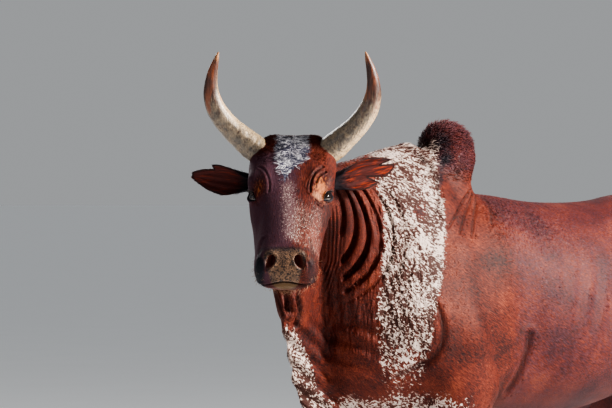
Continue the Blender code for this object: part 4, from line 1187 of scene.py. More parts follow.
def claw(leg_name, out):
    """One of a foot's two claws, with its growth rings."""
    end = leg_name.replace("leg_", "")
    name = f"claw_{end}_{'outer' if out > 0 else 'inner'}"
    centre, side = foot_centre(leg_name), LEGS[leg_name][1]
    turn = ring_turns(CLAW_SIDES)[0]
    long, wide = (signed_power(way, 2 / CLAW_SQUARE) for way in (np.cos(turn), np.sin(turn)))
    middle = np.array((centre.x + side * out * CLAW_OFFSET, centre.y))
    grid = []
    for z, half, fore, aft in smooth_rows(CLAW, CLAW_STEPS):
        x, y = middle[0] + half * wide, centre.y - np.where(long > 0, fore, aft) * long
        wave = 0.5 + 0.5 * math.cos(z * 2 * math.pi / CLAW_RING_SPACING)
        ring = 1 - CLAW_RING_DEPTH * wave * min(1, z / 0.008)
        top = CORONET - 0.0015 + (y - centre.y) * math.tan(-CORONET_SLOPE)
        flat = middle + (np.c_[x, y] - middle) * ring
        grid.append(np.c_[flat, np.minimum(np.full(len(turn), z), top)])
    made = grid_mesh(name, np.array(grid))
    shell = bmesh.new()
    shell.from_mesh(made.data)
    bmesh.ops.remove_doubles(shell, verts=shell.verts, dist=WELD)
    shell.to_mesh(made.data)
    shell.free()
    made.data.shade_smooth()
    return made


def dewclaws(leg_name):
    """The two small claws behind the pastern."""
    centre = foot_centre(leg_name)
    axes = (Vector((1, 0, 0)), Vector((0, 1, -0.5)).normalized(), Vector((0, 0.5, 1)).normalized())
    made = []
    for side, word in WORDS.items():
        place = centre + Vector((side * DEWCLAW[0], DEWCLAW[1], DEWCLAW[2]))
        name = f"dewclaw_{leg_name.replace('leg_', '')}_{word}"
        made.append(ellipsoid(name, place, axes, DEWCLAW_RADII, 24, 16))
        made[-1].data.shade_smooth()
    return made


# Points round the tail and rows on each stretch of it, and how many bones show and how much
TAIL_SIDES = 32
TAIL_STEPS = 10
TAIL_BONES = 16
TAIL_BONE_RISE = 0.02
TAIL_COAT_DEPTH = 0.0015


def tail():
    """The tail down to where its brush hangs from."""
    rows = smooth_rows(TAIL_PATH, TAIL_STEPS)
    radius = rows[:, 3] - TAIL_COAT_DEPTH
    bones = 1 + TAIL_BONE_RISE * np.cos(np.linspace(0, 1, len(rows))[:, None] * 2 * math.pi * TAIL_BONES)
    size = (radius[:, None] * bones)[..., None]
    made = grid_mesh("tail_skin", tube_grid(rows[:, :3], ring_turns(TAIL_SIDES), size))
    made.data.shade_smooth()
    return made


# Colour marks. Each is a share from 0 to 1 that the materials then make ragged.
def attach(thing, name, values):
    """Stores a number or a vector for each point of the mesh."""
    vector = np.ndim(values) == 2
    kind, field = ("FLOAT_VECTOR", "vector") if vector else ("FLOAT", "value")
    layer = thing.data.attributes.new(name, kind, "POINT")
    layer.data.foreach_set(field, np.ascontiguousarray(values, np.float32).ravel())


# The rear and the front edge of the roan at each height, as seen from beside the shoulder
ROAN_HEIGHTS = (0.55, 0.70, 0.82, 0.92, 1.05, 1.18, 1.24, 1.32, 1.40)
ROAN_REAR = (-0.10, -0.06, -0.035, -0.02, 0.000, 0.010, -0.005, -0.012, -0.020)
ROAN_FRONT = (-0.14, -0.16, -0.175, -0.18, -0.165, -0.155, -0.170, -0.195, -0.200)
# How far back from the front edge of the dewlap the roan reaches at each height
STRIP_HEIGHTS = (0.50, 0.60, 0.70, 0.80, 0.87)
STRIP_REAR = (-0.20, -0.27, -0.345, -0.380, -0.412)

# Marks of the shoulder and the hump: place across the view and up, then their reach
SHOULDER_SPOT = ((-0.0618, 1.193), (0.017, 0.021))
HUMP_DARK = (
    ((-0.010, 1.388), (0.040, 0.030)),
    ((0.010, 1.340), (0.030, 0.026)),
    ((-0.002, 1.286), (0.015, 0.034)),
)
HUMP_BROWN = ((0.028, 1.263), (0.030, 0.018))
# HUMP_HIGHLIGHT is a painted highlight on the hump, made white through the blaze and bright marks
HUMP_HIGHLIGHT = ((0.0464, 1.3464), (0.007, 0.009))
# Marks of the face: place across and along the head, then their reach
BLAZE_BRIGHT = ((-0.020, 0.105), (0.020, 0.038))
POLL_BRIGHT = ((0, 0.01), (0.06, 0.026))
EYE_TAN = ((0.083, 0.200), (0.020, 0.036))
# EYE_LIT is a painted highlight by the left eye, on the side the light falls on
EYE_LIT = ((0.074, 0.228), (0.018, 0.016))
DARK_CORNER_AND_SHADE = ((0.067, 0.484), (0.017, 0.032))


def patch(places, at):
    """A soft round mark at a place, with its reach each way."""
    return bump(places - at[0], at[1])


def markings(points):
    """The share of each colour mark at the points."""
    head = in_head(points)
    x, y, z = points.T
    a, l, u = head.T
    on_head = head_share(points)
    across = np.abs(a)
    front = on_head * ease(u, -0.12, -0.06)
    centre = -0.001 - 0.012 * ease(l, 0.09, 0.15)
    wide = 0.034 * (1 - ease(l, 0.095, 0.185)) * ease(l, -0.060, -0.025) + 0.001
    blaze = front * ease(wide - np.abs(a - centre), -0.008, 0.008) * (1 - ease(l, 0.185, 0.210))
    seen = VIEW[0] * np.abs(x) + VIEW[1] * y
    on_face, folded, on_view = np.c_[a, l], np.c_[across, l], np.c_[seen, z]
    bright = patch(on_face, BLAZE_BRIGHT) + 0.9 * patch(on_face, POLL_BRIGHT)
    rear, ahead = np.interp(z, ROAN_HEIGHTS, ROAN_REAR), np.interp(z, ROAN_HEIGHTS, ROAN_FRONT)
    roan = ease(rear - seen, -0.008, 0.008) * ease(seen - ahead, -0.020, 0.020)
    roan *= (y < -0.02) * (1 - ease(z, 1.372, 1.392) * (y > -0.16)) * ease(z, 0.60, 1.00)
    strip = ease(np.interp(z, STRIP_HEIGHTS, STRIP_REAR) - seen, -0.020, 0.020)
    roan = np.maximum(roan, strip * (1 - ease(z, 0.845, 0.905)) * ease(z, 0.50, 0.60)) * (1 - on_head)
    shins = ease(-y, 0.02, 0.12) * ease(z, 0.30, 0.40) * (1 - ease(z, 0.62, 0.72)) * (y < 0.2)
    spot = patch(on_view, SHOULDER_SPOT)
    nose = front * bell(a + 0.004, 0.05 * (l - 0.2), 0.022) * ease(l, 0.15, 0.20)
    nose *= 1 - ease(l, 0.40, 0.44)
    # painted sheen beside the nose on the left half of the face, the side the light falls on
    sunlit_cheek = front * ease(a, 0.004, 0.030) * (1 - ease(a, 0.078, 0.100)) * ease(l, 0.22, 0.31)
    sunlit_cheek *= 1 - ease(l, 0.42, 0.46)
    eye, lit = patch(folded, EYE_TAN) * on_head, patch(on_face, EYE_LIT) * on_head
    level = z - POLL.z
    plate = np.maximum(0.040, 0.050 + 0.38 * (level + 0.346))
    muzzle = ((across / plate) ** 2) ** 1.5 + (((level + 0.353) / 0.055) ** 2) ** 1.7
    bare = ease(1.0 - muzzle, -0.20, 0.20) * ease(l, 0.430, 0.446)
    rim = bell(np.sqrt(np.abs(muzzle)), 1.20, 0.22) * ease(l, 0.36, 0.42)
    top_edge = bell(l - 0.446, -2.0 * across**2, 0.012) * ease(u, -0.045, -0.025)
    ear_root_at = [np.linalg.norm(points - np.array(ear_root(side)), axis=1) for side in (1, -1)]
    by_ear = bell(np.minimum(*ear_root_at), 0, 0.042)
    behind = (1 - on_head) * (y > -0.25)
    hump_dark = sum(patch(on_view, at) for at in HUMP_DARK) * behind
    hump_brown, hump_highlight = patch(on_view, HUMP_BROWN) * behind, patch(on_view, HUMP_HIGHLIGHT) * behind
    low_legs = 1 - ease(z, 0.06, 0.42)
    # dark hair beside the mouth's corners with painted shade of their folds, stronger on the right side,
    # away from the light
    corner = patch(folded, DARK_CORNER_AND_SHADE)
    corner *= np.where(a < 0, 1.20, 0.60) * ease(-u, 0.010, 0.030)
    over, parted = over_lips(head)
    lips = bell(over, 0, 0.0024) * parted
    lower_lip = ease(-over, 0.001, 0.006) * parted * bare
    rings = np.minimum(*[nostril_ring(points, side) for side in (1, -1)])
    hollow = 1 - ease(rings, 0.70, 1.05)
    around_nostril = bell(rings, 1.15, 0.28) * ease(across, 0.030, 0.046)
    lid = np.zeros(len(points))
    for side in (1, -1):
        local = eye_local(points, side)
        by_eye = (local[:, 2] > 0.004) & (np.linalg.norm(local, axis=1) < 0.036)
        along, up, opening = slit(local[by_eye], side)
        past = np.hypot(np.maximum(np.abs(up) - opening, 0), np.maximum(np.abs(along) - SLIT_HALF, 0))
        lid[by_eye] = bell(past, 0, 0.15)
    _, creased = fine_forms(points)
    gaps = neck_folds(points) - neck_folds(points, 1.0)
    loose = (1 - on_head) * ease(-y, 0.16, 0.26) * ease(z, 0.72, 0.85) * (1 - ease(z, 1.34, 1.38))
    loose = np.maximum(loose, ease(y, 0.02, 0.08) * (1 - ease(y, 0.20, 0.50)) * ease(z, 1.02, 1.14))
    # dark also holds the painted shade at the mouth's corners
    dark = by_ear + 0.72 * hump_dark + 0.75 * low_legs + corner + 0.5 * top_edge + 1.2 * lid
    dark += 0.55 * spot * (y < -0.02)
    return {
        "on_head": on_head,
        "on_legs": (1 - ease(z, 0.55, 0.75)) * (np.abs(x) > 0.05),
        # the blaze and bright marks also carry the hump's painted highlight
        "blaze": np.clip(blaze + 0.5 * hump_highlight, 0, 1),
        "bright": np.clip(bright + hump_highlight, 0, 1),
        "roan": np.clip(roan + 0.6 * shins, 0, 1) * (1 - spot) * (1 - np.clip(1.2 * hump_brown, 0, 1)),
        "ticks_and_sheen": np.clip(0.9 * nose + 0.60 * sunlit_cheek, 0, 1),
        "tan": np.clip(eye * np.where(a > 0, 0.90, 0.42) + 0.22 * rim, 0, 1) * (1 - bare),
        "lit": lit,
        # darker purple-brown hair on the face with painted shade on its right half, away from the light;
        # also darkens the hump's top and the trunk behind the withers
        "dusk_and_shade": np.maximum(
            front * (0.85 - 0.80 * ease(a, -0.004, 0.050)) * ease(l, 0.03, 0.09) * (1 - 0.8 * eye),
            np.maximum(0.50 * behind * ease(z, 1.27, 1.33), 0.42 * (1 - on_head) * ease(y, 0.02, 0.14)),
        ),
        "bare": bare,
        "lower": lower_lip,
        "dark": np.clip(dark, 0, 1),
        "soot": np.clip(0.9 * top_edge + 0.8 * around_nostril, 0, 1),
        # painted shade in the creases, the gaps of the neck folds and the line of the lips
        "crease": np.clip(np.maximum(creased, np.maximum(gaps, lips)), 0, 1),
        "hollow": hollow,
        "loose": loose,
    }


def mark(thing, roots=None, repeat=1):
    """Stores the marks, and the places that the grain of the coat is worked out from."""
    places = coordinates(thing.data) if roots is None else roots
    facts = dict(markings(places), place=places, headwise=in_head(places))
    for name, values in facts.items():
        attach(thing, name, np.repeat(values, repeat, axis=0))


def triangles(mesh):
    mesh.calc_loop_triangles()
    corners = np.empty(len(mesh.loop_triangles) * 3, np.int32)
    mesh.loop_triangles.foreach_get("vertices", corners)
    return corners.reshape(-1, 3)


def scatter(thing, count, weigh, seed):
    """Random places on the surface and the surface's direction there, as thick as weigh says."""
    draw = np.random.default_rng(seed)
    points, facing = coordinates(thing.data), normals(thing.data)
    corners = triangles(thing.data)
    a, b, c = (points[corners[:, k]] for k in range(3))
    area = np.linalg.norm(np.cross(b - a, c - a), axis=1) / 2
    chance = area * weigh((a + b + c) / 3)
    picked = draw.choice(len(corners), count, p=chance / chance.sum())
    first, second = np.sqrt(draw.random(count)), draw.random(count)
    shares = np.c_[1 - first, first * (1 - second), first * second]
    roots = np.einsum("nk,nkd->nd", shares, points[corners[picked]])
    out = np.einsum("nk,nkd->nd", shares, facing[corners[picked]])
    return roots, unit(out)


def lie_of_coat(points, out):
    """The way the hair lies at each place, along the surface."""
    head = in_head(points)
    on_head = head_share(points)[:, None]
    x, y, z = points.T
    steep = -0.55 - 0.6 * ease(-y, 0.1, 0.4) - 1.2 * ease(1.22 - z, 0, 0.16) * ease(0.05 - y, 0, 0.1)
    body = np.c_[0.25 * np.sign(x), np.ones(len(x)), steep]
    legs = ((1 - ease(z, 0.55, 0.80)) * (np.abs(x) > 0.05))[:, None]
    body = body * (1 - legs) + np.array((0, 0.15, -1.0)) * legs
    outward = np.sign(head[:, 0]) * 0.45 * ease(np.abs(head[:, 0]), 0.02, 0.08)
    face = np.array(ALONG) + np.outer(outward, ACROSS)
    return steady(face * on_head + body * (1 - on_head), out)


# The flat map: how many faces it is made from, how sharp its seams are in degrees, the gap between its
# pieces, and the size of one tuft's place on it
UNWRAP_FACES = 9000
UNWRAP_ANGLE = 66
UNWRAP_MARGIN = 0.002
PATCH = 0.003


def unwrap(thing):
    """A coarse copy's flat map of the surface: its points, its triangles and the map at their corners."""
    made = linked("unwrap", thing.data.copy())
    fewer = made.modifiers.new("fewer", "DECIMATE")
    fewer.ratio = min(1, UNWRAP_FACES / len(made.data.polygons))
    apply_modifiers(made)
    bpy.ops.object.select_all(action="DESELECT")
    bpy.context.view_layer.objects.active = made
    made.select_set(True)
    bpy.ops.object.mode_set(mode="EDIT")
    bpy.ops.mesh.select_all(action="SELECT")
    bpy.ops.uv.smart_project(angle_limit=math.radians(UNWRAP_ANGLE), island_margin=UNWRAP_MARGIN)
    bpy.ops.object.mode_set(mode="OBJECT")
    mesh = made.data
    corners = triangles(mesh)
    loops = np.empty(len(corners) * 3, np.int32)
    mesh.loop_triangles.foreach_get("loops", loops)
    flat = np.empty(len(mesh.loops) * 2, np.float32)
    mesh.uv_layers.active.data.foreach_get("uv", flat)
    found = coordinates(mesh), corners, flat.reshape(-1, 2)[loops].reshape(-1, 3, 2)
    remove(made)
    return found


def flat_places(chart, roots):
    """Where each root lies on the flat map."""
    points, corners, flat = chart
    tree = BVHTree.FromPolygons([tuple(p) for p in points], [tuple(c) for c in corners])
    hits = [tree.find_nearest(Vector(root)) for root in roots]
    index = np.array([hit[2] for hit in hits])
    place = np.array([tuple(hit[0]) for hit in hits])
    a, b, c = (points[corners[index, k]] for k in range(3))
    one, two, to = b - a, c - a, place - a
    aa, ab, bb = (one * one).sum(1), (one * two).sum(1), (two * two).sum(1)
    ta, tb = (to * one).sum(1), (to * two).sum(1)
    scale = np.maximum(aa * bb - ab * ab, 1e-18)
    second, third = (bb * ta - ab * tb) / scale, (aa * tb - ab * ta) / scale
    shares = np.clip(np.c_[1 - second - third, second, third], 0, 1)
    return np.einsum("nk,nkd->nd", shares / shares.sum(1)[:, None], flat[index])


# How deep tufts are rooted, how full they are at the root and how much that grows towards the tip, as
# shares of half a wave, and how high their ridge is beside their width
TUFT_SINK = 0.0012
TUFT_ROOT = 0.28
TUFT_GROWTH = 0.62
TUFT_RIDGE = 0.30


def tufts(name, chart, roots, out, way, length, width, lift, rings=1, curl=0.0, sink=TUFT_SINK):
    """Three-sided tufts that taper to a point, rooted in the skin and bending down along the lie.

    Lift is how steeply each stands at its root, as a slope; curl swings its end to the side.
    """
    count = len(roots)
    length, width, lift, curl = (np.broadcast_to(v, count)[:, None] for v in (length, width, lift, curl))
    side = np.cross(way, out)
    shares = np.arange(rings + 1) / (rings + 1)
    fullness = np.sin(math.pi * (TUFT_ROOT + TUFT_GROWTH * shares))
    points = []
    for share, full in zip(shares, fullness):
        rise = lift * share * (1 - 0.5 * share)
        middle = roots - out * sink + length * (way * share + out * rise + side * curl * share**2)
        half = side * width * full / 2
        points += [middle + half, middle - half, middle + out * width * full * TUFT_RIDGE]
    points.append(roots + length * (way + out * lift * 0.5 + side * curl))
    points = np.stack(points, axis=1)
    each = points.shape[1]
    faces = []
    for ring in range(0, 3 * rings, 3):
        for k in range(3):
            here, beside = ring + k, ring + (k + 1) % 3
            faces += [(here, beside, beside + 3), (here, beside + 3, here + 3)]
    last = 3 * rings
    faces += [(last + k, last + (k + 1) % 3, each - 1) for k in range(3)] + [(2, 1, 0)]
    faces = np.array(faces)
    every = (np.arange(count)[:, None, None] * each + faces).reshape(-1, 3)
    mesh = bpy.data.meshes.new(name)
    mesh.vertices.add(count * each)
    mesh.loops.add(every.size)
    mesh.polygons.add(len(every))
    mesh.vertices.foreach_set("co", points.astype(np.float32).ravel())
    mesh.polygons.foreach_set("loop_start", np.arange(len(every), dtype=np.int32) * 3)
    mesh.loops.foreach_set("vertex_index", every.astype(np.int32).ravel())
    mesh.update(calc_edges=True)
    mesh.shade_smooth()
    made = linked(name, mesh)
    corner = np.c_[np.tile((0.0, 1.0, 0.5), rings + 1), np.repeat(shares, 3)]
    corner = np.vstack([corner, (0.5, 1.0)]) - 0.5
    spots = flat_places(chart, roots)[:, None] + PATCH * corner[None]
    layer = mesh.uv_layers.new(name="OFBake")
    flat = np.clip(spots.reshape(-1, 2)[every.ravel()], 0, 1)
    layer.data.foreach_set("uv", flat.astype(np.float32).ravel())
    draw = np.random.default_rng(len(name) + count)
    attach(made, "tint", np.repeat(draw.random(count), each))
    attach(made, "tip", np.tile(np.append(np.repeat(shares, 3), 1.0), count))
    mark(made, roots, each)
    return made


# How much tufts differ: the least and the most share of the size, width and lift, and the curl
TUFT_SIZES = (0.7, 1.25)
TUFT_WIDTHS = (0.75, 1.25)
TUFT_LIFTS = (0.6, 1.4)
TUFT_CURL = 0.12


def sprout(name, thing, chart, count, weigh, seed, length, width, lift, turn=0.25, steer=None, **more):
    """Scatters tufts, each a little unlike its neighbours."""
    roots, out = scatter(thing, count, weigh, seed)
    draw = np.random.default_rng(seed + 1)
    way = lie_of_coat(roots, out)
    if steer is not None:
        way = steer(roots, out, way)
    side = np.cross(way, out)
    way = unit(way + side * draw.normal(0, turn, count)[:, None])
    size = draw.uniform(*TUFT_SIZES, count)
    length, lift = (value(roots) if callable(value) else value for value in (length, lift))
    width, lift = width * draw.uniform(*TUFT_WIDTHS, count), lift * draw.uniform(*TUFT_LIFTS, count)
    curl = draw.normal(0, TUFT_CURL, count)
    return tufts(name, chart, roots, out, way, length * size, width, lift, curl=curl, **more)


# Where each coat grows. Each returns how thick it grows at the places.
def clear_of_features(points):
    """0 on the muzzle's bare skin, the eyes and the lips, 1 elsewhere."""
    marks = markings(points)
    eyes = [np.linalg.norm(eye_local(points, side) - (0, 0, 0.018), axis=1) for side in (1, -1)]
    return (1 - marks["bare"]) * (np.minimum(*eyes) > 0.021) * (1 - marks["hollow"])


def on_face(points):
    return (head_share(points) > 0.5) * clear_of_features(points) * (1.0 + markings(points)["blaze"])


def on_poll(points):
    across, l, u = head_places(points)
    cap = ease(l, -0.075, -0.045) * (1 - ease(l, 0.060, 0.120)) * (across < 0.082) * (u > -0.075)
    crest = bell(across, 0.060, 0.020) * (1 - ease(l, 0.030, 0.060))
    return cap * (0.6 + 0.6 * markings(points)["blaze"] + crest) + 0.3 * markings(points)["blaze"]


def poll_lift(points):
    """The hair of the poll stands in two low tufts, with a dip between them."""
    across, along, _ = head_places(points)
    tuft = bell(across, 0.060, 0.022) * (1 - ease(along, 0.010, 0.045))
    return 0.14 + 0.28 * tuft


def hump_lift(points):
    return 0.28 + 0.60 * ease(points[:, 2], 1.36, 1.42)


def hump_length(points):
    return 0.014 + 0.014 * ease(points[:, 2], 1.34, 1.42)


def on_hump(points):
    y, z = points[:, 1], points[:, 2]
    here = ease(z, 1.27, 1.33) * (y > -0.16) * (y < 0.16)
    return here * (1 + 2 * ease(z, 1.36, 1.42)) * (1 - head_share(points))


def on_roan(points):
    return markings(points)["roan"] * (points[:, 1] < 0.05) * (points[:, 2] > 0.60)


def on_neck(points):
    y, z = points[:, 1], points[:, 2]
    here = (1 - head_share(points)) * (y < -0.12) * (z > 0.62) * (1 - markings(points)["roan"])
    return here * (1 - ease(z, 1.33, 1.36) * (y > -0.16))


def on_trunk(points):
    y, z = points[:, 1], points[:, 2]
    here = (y > -0.22) * (z > 0.52) * (1 - ease(z, 1.27, 1.33) * (y < 0.16))
    return here * (1 - markings(points)["roan"])


def on_foretrunk(points):
    return on_trunk(points) * (points[:, 1] < 0.38)


def on_hindtrunk(points):
    return on_trunk(points) * (points[:, 1] >= 0.38)


def on_legs(points):
    return (points[:, 2] < 0.56) * (points[:, 2] > 0.075) * (np.abs(points[:, 0]) > 0.05)


def wavy(points, out, way):
    """The lie of the poll: to both sides over the brow, in long waves."""
    head = in_head(points)
    swing = 1.1 * np.sign(head[:, 0] + 0.004) * ease(np.abs(head[:, 0] + 0.004), 0, 0.012)
    swing += 0.55 * np.sin(head[:, 0] * 50 + head[:, 1] * 120)
    return steady(np.outer(swing, ACROSS) + np.array(ALONG) * 0.70 + np.array((0, 0, 0.1)), out)


def steady(way, out):
    """The part of a direction that lies in the surface, as a unit vector."""
    return unit(way - out * (way * out).sum(1)[:, None])


def backwards(points, out, way):
    """The hump's hair leans back and, on the crest, up."""
    return steady(np.array((0, 0.9, 0.15)) + way * 0.5, out)


def downwards(points, out, way):
    return steady(np.array((0, 0.05, -1.0)) + 0 * way, out)


def coats(body):
    """The coat over the skin, piece by piece."""
    chart = unwrap(body)
    grow_on = (
        # name, count, where, length, width, lift, rings, steer
        ("coat_face", 18500, on_face, 0.0072, 0.0015, 0.13, 1, None),
        ("coat_poll", 9000, on_poll, 0.018, 0.0017, poll_lift, 2, wavy),
        ("coat_hump", 10500, on_hump, hump_length, 0.0021, hump_lift, 2, backwards),
        ("coat_roan", 18500, on_roan, 0.0130, 0.0021, 0.11, 1, None),
        ("coat_neck", 18000, on_neck, 0.0110, 0.0018, 0.09, 1, None),
        ("coat_foretrunk", 16000, on_foretrunk, 0.0150, 0.0022, 0.06, 1, None),
        ("coat_hindtrunk", 15000, on_hindtrunk, 0.0150, 0.0022, 0.06, 1, None),
        ("coat_legs", 12000, on_legs, 0.0100, 0.0021, 0.09, 1, None),
    )
    made = [
        sprout(name, body, chart, count, where, 10 * number + 5, *size, steer=steer, rings=rings)
        for number, (name, count, where, *size, rings, steer) in enumerate(grow_on)
    ]
    return made, chart


def on_chin(points):
    across, l, u = head_places(points)
    chin = bump(np.c_[across, l - 0.46, u + 0.128], (0.045, 0.045, 0.020))
    jaw = 0.8 * bump(np.c_[across - 0.035, l - 0.36, u + 0.155], (0.030, 0.060, 0.030))
    return (chin + jaw) * (head_share(points) > 0.5)


def on_lip(points):
    across, l, u = head_places(points)
    return bump(np.c_[across - 0.066, l - 0.455, u + 0.075], (0.014, 0.030, 0.022))


def whiskers(body, chart):
    """Long single hairs under the chin and beside the lips."""
    hairs = (
        # name, count, where, seed, length, width, lift, turn, steer
        ("hair_chin", 420, on_chin, 301, 0.024, 0.0008, 0.9, 0.6, downwards),
        ("hair_lips", 90, on_lip, 303, 0.013, 0.0006, 1.2, 0.8, None),
    )
    return [sprout(name, body, chart, *grow, rings=3) for name, *grow in hairs]


# How many upper lashes an eye has, their lengths and width, how far along the slit and past its edge
# they grow, in radians, and how much they stand out, spread and droop
LASHES = 110
LASH_SEED = 41
LASH_LENGTHS = (0.008, 0.014)
LASH_REACH = 0.72
LASH_ROWS = (0.02, 0.05)
LASH_WIDTH = 0.0007
LASH_LIFT = 1.6
LASH_SPREAD = 0.35
LASH_DROOP = 0.2


def lashes(side, chart):
    """The upper lashes, which point out and down."""
    draw = np.random.default_rng(LASH_SEED + side)
    axes = np.array(eye_axes(side))
    upper = -1 if eye_axes(side)[1].z < 0 else 1
    u = draw.uniform(-LASH_REACH, LASH_REACH, LASHES)
    v = upper * (SLIT_UPPER * np.sqrt(1 - (u / SLIT_HALF) ** 2) + draw.uniform(*LASH_ROWS, LASHES))
    out = np.c_[np.tan(u), np.tan(v), np.ones(LASHES)]
    out = unit(out) @ axes
    roots = np.array(eye_centre(side)) + out * LID_EDGE
    spread = axes[0] * draw.normal(0, LASH_SPREAD, LASHES)[:, None]
    way = steady(np.tile(-axes[1] * upper * LASH_DROOP, (LASHES, 1)) + spread, out)
    length = draw.uniform(*LASH_LENGTHS, LASHES)
    return tufts(f"lashes_{WORDS[side]}", chart, roots, out, way, length, LASH_WIDTH, LASH_LIFT, rings=3)


def ear_coat(cup, side):
    """Short hair over the cup, longer at its root and along its edges."""
    chart = unwrap(cup)
    root, axes = np.array(ear_root(side)), np.array(ear_axes(side))

    def local(points):
        return (points - root) @ axes.T

    def all_over(points):
        return (local(points)[:, 0] > 0.0) * 1.0

    def at_root(points):
        return bump(np.c_[local(points)[:, 0] - 0.030], (0.034,)) * (local(points)[:, 0] > 0.004)

    def outwards(points, out, way):
        return steady(axes[0] + axes[1] * np.sin(points[:, 2] * 200)[:, None] * 0.25, out)

    hairs = (
        # name, count, where, seed, length, width, lift, rings
        ("hair", 4800, all_over, 401, 0.0050, 0.0011, 0.08, 1),
        ("tufts", 420, at_root, 403, 0.020, 0.0011, 0.22, 3),
    )
    made = [
        sprout(f"ear_{kind}_{WORDS[side]}", cup, chart, *grow, steer=outwards, rings=rings)
        for kind, *grow, rings in hairs
    ]
    for thing in made:
        places = np.empty(len(thing.data.vertices) * 3, np.float32)
        thing.data.attributes["place"].data.foreach_get("vector", places)
        attach(thing, "on_ear", local(places.reshape(-1, 3).astype(float)))
    return made


# How many locks the brush has, where down it they start and how long they are as shares of its length,
# their width and lift, how much they spread, and how thick the core is that they hang from
BRUSH_LOCKS = 620
BRUSH_STARTS = (-0.05, 0.62)
BRUSH_LENGTHS = (0.35, 0.62)
BRUSH_END = 0.97
BRUSH_WIDTHS = (0.003, 0.007)
BRUSH_LIFTS = (0.04, 0.15)
BRUSH_SPREAD = 0.05
BRUSH_RINGS = 6
BRUSH_SINK = 0.004
BRUSH_CORE = ((0, 0.3, 0.5, 0.62), (0.95, 1.0, 0.6, 0.3))


def tail_brush(chart):
    """Long coarse hair from the end of the tail, hung in flat locks over one another."""
    x, y, top, radius = TAIL_PATH[-1]
    draw = np.random.default_rng(SEED)
    turn = draw.uniform(0, 2 * math.pi, BRUSH_LOCKS)
    start = draw.uniform(*BRUSH_STARTS, BRUSH_LOCKS)
    out = np.c_[np.cos(turn), np.sin(turn), 0 * turn]
    core = radius * np.interp(start, *BRUSH_CORE)
    roots = np.array((x, y, top)) + out * core[:, None] - np.outer(start * SWITCH_LENGTH, (0, 0, 1))
    way = np.tile((0.0, 0.0, -1.0), (BRUSH_LOCKS, 1)) + out * BRUSH_SPREAD
    way[:, :2] += draw.normal(0, BRUSH_SPREAD, (BRUSH_LOCKS, 2))
    length = SWITCH_LENGTH * np.minimum(draw.uniform(*BRUSH_LENGTHS, BRUSH_LOCKS), BRUSH_END - start)
    width, lift = draw.uniform(*BRUSH_WIDTHS, BRUSH_LOCKS), draw.uniform(*BRUSH_LIFTS, BRUSH_LOCKS)
    curl = draw.normal(0, BRUSH_SPREAD, BRUSH_LOCKS)
    sizes = length, width, lift
    return tufts("tail_brush", chart, roots, out, unit(way), *sizes, BRUSH_RINGS, curl, BRUSH_SINK)


# Materials
class Look:
    """One material, whose nodes are added one at a time."""

    def __init__(self, name, colour, roughness):
        self.made = bpy.data.materials.new(name)
        self.made.use_nodes = True
        self.made.diffuse_color = (*colour, 1)
        self.tree = self.made.node_tree
        self.shader = self.tree.nodes["Principled BSDF"]
        self.shader.inputs["Base Color"].default_value = (*colour, 1)
        self.shader.inputs["Roughness"].default_value = roughness

    def node(self, kind, inputs=None, **settings):
        made = self.tree.nodes.new("ShaderNode" + kind)
        for key, value in settings.items():
            setattr(made, key, value)
        for socket, value in (inputs or {}).items():
            self.put(made.inputs[socket], value)
        return made

    def put(self, socket, value):
        if isinstance(value, bpy.types.NodeSocket):
            self.tree.links.new(value, socket)
        else:
            socket.default_value = value

    def fact(self, name):
        """A number stored on the mesh."""
        return self.node("Attribute", attribute_name=name).outputs["Fac"]

    def spot(self, name):
        """A vector stored on the mesh."""
        return self.node("Attribute", attribute_name=name).outputs["Vector"]

    def mix(self, share, below, above):
        colours = [(*value, 1) if isinstance(value, tuple) else value for value in (below, above)]
        made = self.node("Mix", {0: share, 6: colours[0], 7: colours[1]}, data_type="RGBA")
        return made.outputs[2]

    def sum(self, operation, first, second=0.0):
        return self.node("Math", {0: first, 1: second}, operation=operation).outputs[0]

    def plus(self, first, second):
        return self.sum("ADD", first, second)

    def minus(self, first, second):
        return self.sum("SUBTRACT", first, second)

    def times(self, first, second):
        return self.sum("MULTIPLY", first, second)

    def mix_numbers(self, share, below, above):
        """A number between two others."""
        return self.node("Mix", {0: share, 2: below, 3: above}).outputs[0]

    def parts(self, vector):
        """The three numbers of a vector."""
        return self.node("SeparateXYZ", {0: vector}).outputs

    def place(self):
        """The place on the mesh itself."""
        return self.node("TexCoord").outputs["Object"]

    def band(self, value, low, high, start=0.0, end=1.0):
        """Goes smoothly from start to end as the value goes from low to high."""
        inputs = {0: value, 1: low, 2: high, 3: start, 4: end}
        return self.node("MapRange", inputs, interpolation_type="SMOOTHSTEP").outputs[0]

    def stretched(self, vector, scale, turn=(0, 0, 0)):
        """The vector turned, then multiplied by the scale, in repeats to the metre."""
        inputs = {"Vector": vector, "Rotation": turn, "Scale": tuple(1 / s for s in scale)}
        return self.node("Mapping", inputs, vector_type="TEXTURE").outputs[0]

    def noise(self, vector, detail=2.0, roughness=0.5, scale=1.0):
        inputs = {"Vector": vector, "Scale": scale, "Detail": detail, "Roughness": roughness}
        return self.node("TexNoise", inputs).outputs[0]

    def bump(self, height, distance, strength=1.0, below=None):
        inputs = {"Height": height, "Distance": distance, "Strength": strength}
        if below is not None:
            inputs["Normal"] = below
        return self.node("Bump", inputs).outputs[0]

    def set(self, **values):
        for name, value in values.items():
            self.put(self.shader.inputs[name.replace("_", " ").title().replace("Ior", "IOR")], value)
        return self.made


MAHOGANY = (0.070, 0.0115, 0.0062)
MAHOGANY_DARK = (0.016, 0.0042, 0.0044)
MAHOGANY_LIGHT = (0.145, 0.036, 0.018)
